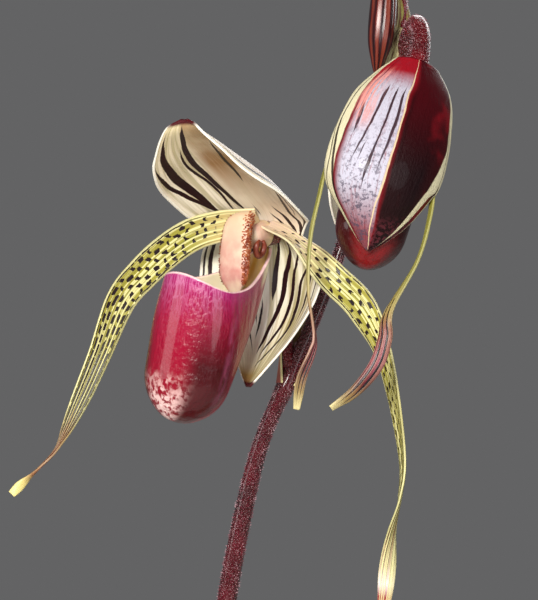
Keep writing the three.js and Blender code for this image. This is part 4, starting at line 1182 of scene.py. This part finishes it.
# Rough chip: a slab of 24 points, each a little out of place
def add_chip(shape, size, thickness, turns, at, random):
    x, y, z = np.meshgrid([-1, -0.33, 0.33, 1], [-1, 0, 1], [-1, 1], indexing="ij")
    size = np.array([CHIP_LENGTH, CHIP_WIDTH, thickness]) * size
    points = np.stack([x, y, z], -1).reshape(-1, 3) * size / 2
    points += (random.random(points.shape) - 0.5) * size * [0.16, 0.22, 0.35]
    index = np.arange(24).reshape(4, 3, 2)
    sides = (
        (index[:, :, 0], 1), (index[:, :, 1], -1), (index[:, 0], -1),
        (index[:, 2], 1), (index[0], 1), (index[3], -1),
    )
    faces = []
    for side, order in sides:
        corners = [side[:-1, :-1], side[:-1, 1:], side[1:, 1:], side[1:, :-1]]
        faces.append(np.stack(corners, -1).reshape(-1, 4)[:, ::order])
    roll, tip, spin = turns
    turn = rotation(0, 0, spin) @ rotation(0, tip, 0) @ rotation(roll, 0, 0)
    shape.add(points @ turn.T + np.array(at), np.vstack(faces))


# Radius of the bark at a height, just inside the pot
def bark_radius(z):
    widening = (POT_RIM - POT_FOOT - 3.5) / (POT_HEIGHT - POT_FLOOR)
    return POT_FOOT - POT_WALL + 0.4 + (z - POT_FLOOR) * widening


def make_bark():
    shape = Shape()
    top = bark_radius(MIX_TOP)
    outline = [
        [0.01, POT_FLOOR + 0.3], [38, POT_FLOOR + 0.3], [bark_radius(10), 10],
        [top, MIX_TOP - 3], [top * 0.6, MIX_TOP - 2.5], [0.01, MIX_TOP - 2.5],
    ]
    add_round(shape, divided(outline, 8), 64)
    draw = dice(SEED)
    random = np.random.default_rng(SEED)
    placed = 0
    while placed < PLACED_CHIPS:
        size = 0.7 + 0.5 * next(draw)
        angle = 2 * math.pi * next(draw)
        reach = top * math.sqrt(next(draw))
        x, y = reach * math.cos(angle), reach * math.sin(angle)
        half = 0.55 * CHIP_LENGTH * size
        clear = math.hypot(max(abs(x) - PIT_LENGTH + PIT_WIDTH, 0), y) - PIT_WIDTH
        spin, tip, roll = math.pi * next(draw), 0.5 * (next(draw) - 0.5), 0.5 * (next(draw) - 0.5)
        if clear < half or reach + half > top:
            continue
        add_chip(shape, size, PLACED_THICK, (roll, tip, spin), (x, y, MIX_TOP + 1.4), random)
        placed += 1
    for _ in range(LOOSE_CHIPS):
        angle = 2 * math.pi * random.random()
        reach = (top - 3) * math.sqrt(random.random())
        x, y = reach * math.cos(angle), reach * math.sin(angle)
        inside = math.hypot(max(abs(x) - CROWN_LENGTH + CROWN_WIDTH, 0), y) < CROWN_WIDTH + 1.5
        size = 0.35 + 0.4 * random.random()
        turns = (random.random() - 0.5, random.random() - 0.5, math.pi * random.random())
        height = MIX_TOP - 6.5 if inside else MIX_TOP - 1.8 + 2 * random.random()
        add_chip(shape, size, LOOSE_THICK, turns, (x, y, height), random)
    shape.make("bark_chips", [BARK], "bark", "bark_mix", flat=True)


def make_crown():
    angle = np.linspace(0, 2 * math.pi, 64, endpoint=False)
    flat = np.sign(np.cos(angle)) * np.abs(np.cos(angle)) ** 0.4
    x = (CROWN_LENGTH - CROWN_WIDTH) * flat + CROWN_WIDTH * np.cos(angle)
    y = CROWN_WIDTH * np.sin(angle)
    outline = [
        (1, CROWN_FOOT), (1, CROWN_TOP - 4), (0.93, CROWN_TOP - 1.5),
        (0.8, CROWN_TOP), (0.4, CROWN_TOP + 0.6), (0.01, CROWN_TOP + 0.8),
    ]
    rows = [np.stack([x * share, y * share, np.full(64, z)], -1) for share, z in outline]
    shape = Shape()
    add_rings(shape, np.array(rows))
    shape.make("leaf_crown", [CROWN], "crown", "crown")


def make_leaves():
    fold = ramp(LEAF_FOLD)
    for index, (name, (turn, start, reach, rise, droop, twist)) in enumerate(LEAVES.items()):
        angle = math.radians(turn)
        out = [(start, -4), (start + 0.05 * reach, 0.3 * rise), (start + 0.2 * reach, 0.66 * rise),
               (start + 0.45 * reach, 0.94 * rise), (start + 0.72 * reach, rise),
               (start + 0.9 * reach, rise - 0.45 * droop), (start + reach, rise - droop)]
        path = [[r * math.cos(angle), r * math.sin(angle), CROWN_TOP + z] for r, z in out]
        tilts = (0, 0, 0.1, 0.2, 0.3, 0.3, 0.3)
        sides = [[math.sin(angle), -math.cos(angle), tilt * twist] for tilt in tilts]

        def relief(u, v, w):
            wave = 0.35 * np.sin(9 * u + index) * v * np.abs(v) * smooth(u / 0.3)
            return fold(u) * w * (np.sqrt(v * v + 0.01) - 0.1) + wave

        surface = blade_surface(path, LEAF_WIDTH, [[0, 0.1], [1, 0.1]], sides=sides, relief=relief)
        shape = Shape()
        add_blade(shape, surface, *LEAF_MESH)
        shape.make("strap_" + name, [LEAF, LEAF_BACK], "leaf", name)


# Section of a round limb, with ribs that stand out by a share of its radius
def rounded(radius, ribs=0, depth=0.0):
    size = ramp(radius)

    def section(angle, u):
        r = size(u) * (1 + depth * np.cos(ribs * angle))
        return r * np.cos(angle), r * np.sin(angle)

    return section


def make_stem():
    random = np.random.default_rng(HAIR_SEED)
    shape = Shape()
    add_limb(shape, STEM_PATH, *STEM_MESH, rounded(STEM_RADIUS))
    add_fur(shape, STEM_PATH, STEM_RADIUS, STEM_HAIRS, 0.09, random, 0.05, 0.99)
    shape.make("hairy_stem", [STEM, HAIR], "stem", "flower_stem")
    for name, (path, radius) in STALKS.items():
        shape = Shape()
        add_limb(shape, path, *STALK_MESH, rounded(radius, 6, 0.04))
        add_fur(shape, path, radius, STALK_HAIRS, 0.05, random)
        shape.make("hairy_" + name, [STALK, HAIR], "stalk", name)
    for name, (path, across, width, bend) in BRACTS.items():
        shape = Shape()
        add_blade(shape, blade_surface(path, width, bend, across), *BRACT_MESH)
        shape.make("veined_" + name, [BRACT_PAINTS[name]] * 2, "bract", name)


def make_bud():
    wide, deep = ramp(BUD_HALF), ramp(BUD_DEEP)

    def section(angle, u):
        rib = 1 + 0.05 * np.cos(6 * angle) + 0.012 * np.cos(18 * angle)
        return wide(u) * rib * np.cos(angle), deep(u) * rib * np.sin(angle)

    shape = Shape()
    add_limb(shape, BUD_PATH, *BUD_MESH, section)
    shape.make("closed_bud", [BUD], "bud", "bud")


# Column: a rod, a shield in front of it with grains on, and an anther curled round on each side
def column_shape(path, random):
    shape = Shape()
    add_limb(shape, COLUMN_PATH, 16, 40, rounded(COLUMN_RADIUS))
    half, deep = ramp(SHIELD_HALF), ramp(SHIELD_DEEP)

    def square(x):
        return np.sign(x) * np.abs(x) ** 0.7

    def section(angle, u):
        return half(u) * square(np.cos(angle)), deep(u) * square(np.sin(angle))

    rows, sides = SHIELD_MESH
    points = add_limb(shape, path, rows, sides, section)
    centre = Curve(path)
    for first, count in ((sides // 2, LEFT_GRAINS), (0, RIGHT_GRAINS)):
        for _ in range(count):
            u = 0.17 + 0.75 * random.random()
            row = points[int(u * rows)]
            away = random.uniform(-9, 9) * (1 - 0.5 * u) if first == 0 else random.normal(0, 2.4)
            root = row[int(round(first + away)) % sides]
            way = root - centre.point(centre.place(np.array(u)))
            add_hairs(shape, root[None], way[None], 0.45 + 0.35 * random.random(), 0.27, 1, 5)
    turns = [(math.cos(a), math.sin(a)) for a in np.linspace(0.6, 5.9, 9)]
    for side in (-1, 1):
        ring = [[side * (4.3 + 0.6 * c), -6.5 + 2.1 * s, -4.5 + 2.6 * c] for c, s in turns]
        add_limb(shape, ring, 40, 16, rounded(ANTHER_RADIUS), (1, 0.2, 0.1), 2)
    return shape


# Bloom: petals is a list of (node, blade, paint) and sepals of (node, blade, paints, slot)
def make_bloom(kind, place, shield, petals, sepals, pouch, pouch_paints, pouch_slot):
    turn, at = bloom_frame(*place)
    throat = column_shape(shield, np.random.default_rng(GRAIN_SEED)).move(turn, at)
    throat.make(kind + "_throat", [COLUMN, PAPILLA, ANTHER], "column", kind + "_column")
    for name, petal, paint in petals:
        shape = Shape()
        add_blade(shape, blade_surface(**petal), *PETAL_MESH)
        shape.move(turn, at).make("spotted_" + name, [paint] * 2, "petal", name)
    for name, sepal, paints, slot in sepals:
        shape = Shape()
        add_blade(shape, blade_surface(**sepal), *SEPAL_MESH)
        shape.move(turn, at).make("striped_" + name, paints, slot, name)
    shape = Shape()
    add_pouch(shape, pouch, *POUCH_MESH)
    shape.move(turn, at).make("veined_" + kind + "_pouch", pouch_paints, pouch_slot, kind + "_pouch")


# Floor: a disc just under the pot
def make_floor():
    p = Paint("floor", Roughness=0.8)
    p.tone = p.mix(p.noise(p.spot, 6, 3), "d9d6d0", "e2dfda")
    shape = Shape()
    add_round(shape, [[0.01, FLOOR], [700, FLOOR], [FLOOR_RADIUS, FLOOR]], 96)
    shape.build("floor", [p.done()], flat=True)


make_pot()
make_bark()
make_crown()
make_leaves()
make_stem()
make_bud()
make_bloom(
    "open", OPEN_BLOOM, OPEN_SHIELD,
    [("open_petal_left", OPEN_LEFT, PETAL), ("open_petal_right", OPEN_RIGHT, RIGHT_PETAL)],
    [("open_dorsal_sepal", OPEN_DORSAL, [DORSAL, DORSAL_BACK], "sepal"),
     ("open_synsepal", OPEN_SYNSEPAL, [SYNSEPAL, SYNSEPAL_BACK], "sepal")],
    OPEN_POUCH, [POUCH, POUCH_INSIDE], "pouch",
)
make_bloom(
    "half", HALF_BLOOM, HALF_SHIELD,
    [("half_petal_left", HALF_LEFT, HALF_PETAL), ("half_petal_right", HALF_RIGHT, HALF_PETAL)],
    [("half_dorsal_sepal", HALF_DORSAL, [HOOD_INSIDE, HOOD], "hood"),
     ("half_synsepal", HALF_SYNSEPAL, [SYNSEPAL, SYNSEPAL_BACK], "sepal")],
    HALF_POUCH, [YOUNG_POUCH] * 2, "young_pouch",
)
make_floor()

# Lamps: place, what it is aimed at, width, power and tone
LAMPS = {
    "key": ((-0.26, -1.0, 0.78), (0.0, 0, 0.45), 0.32, 15, (1, 0.97, 0.92)),
    "side": ((-0.95, -0.35, 0.62), (0.04, 0, 0.5), 0.5, 2.5, (1, 1, 1)),
    "fill": ((0.7, -0.9, 0.45), (0.02, 0, 0.45), 0.6, 3.2, (0.95, 0.97, 1)),
    "rim": ((0.3, 0.7, 0.9), (0.02, 0, 0.4), 0.6, 4, (1, 1, 1)),
}
for name, (at, aim, size, power, tone) in LAMPS.items():
    data = bpy.data.lights.new(name, "AREA")
    data.shape = "DISK"
    data.size = size
    data.energy = power
    data.color = tone
    lamp = bpy.data.objects.new(name, data)
    lamp.location = at
    direction = (Vector(aim) - Vector(at)).normalized()
    lamp.rotation_euler = direction.to_track_quat("-Z", "Y").to_euler()
    bpy.context.scene.collection.objects.link(lamp)

world = bpy.data.worlds.new("studio")
world.use_nodes = True
world.node_tree.nodes["Background"].inputs["Color"].default_value = (0.25, 0.25, 0.255, 1)
world.node_tree.nodes["Background"].inputs["Strength"].default_value = 0.5
bpy.context.scene.world = world
bpy.context.scene.view_settings.view_transform = "Standard"

# Camera
camera = bpy.data.objects.new("camera", bpy.data.cameras.new("camera"))
camera.data.lens = 100
camera.data.sensor_width = 36
camera.location = (0.0185, -0.5667, 0.455)
camera.rotation_euler = (math.pi / 2, 0, 0)
bpy.context.scene.collection.objects.link(camera)
bpy.context.scene.camera = camera

bpy.context.view_layer.update()
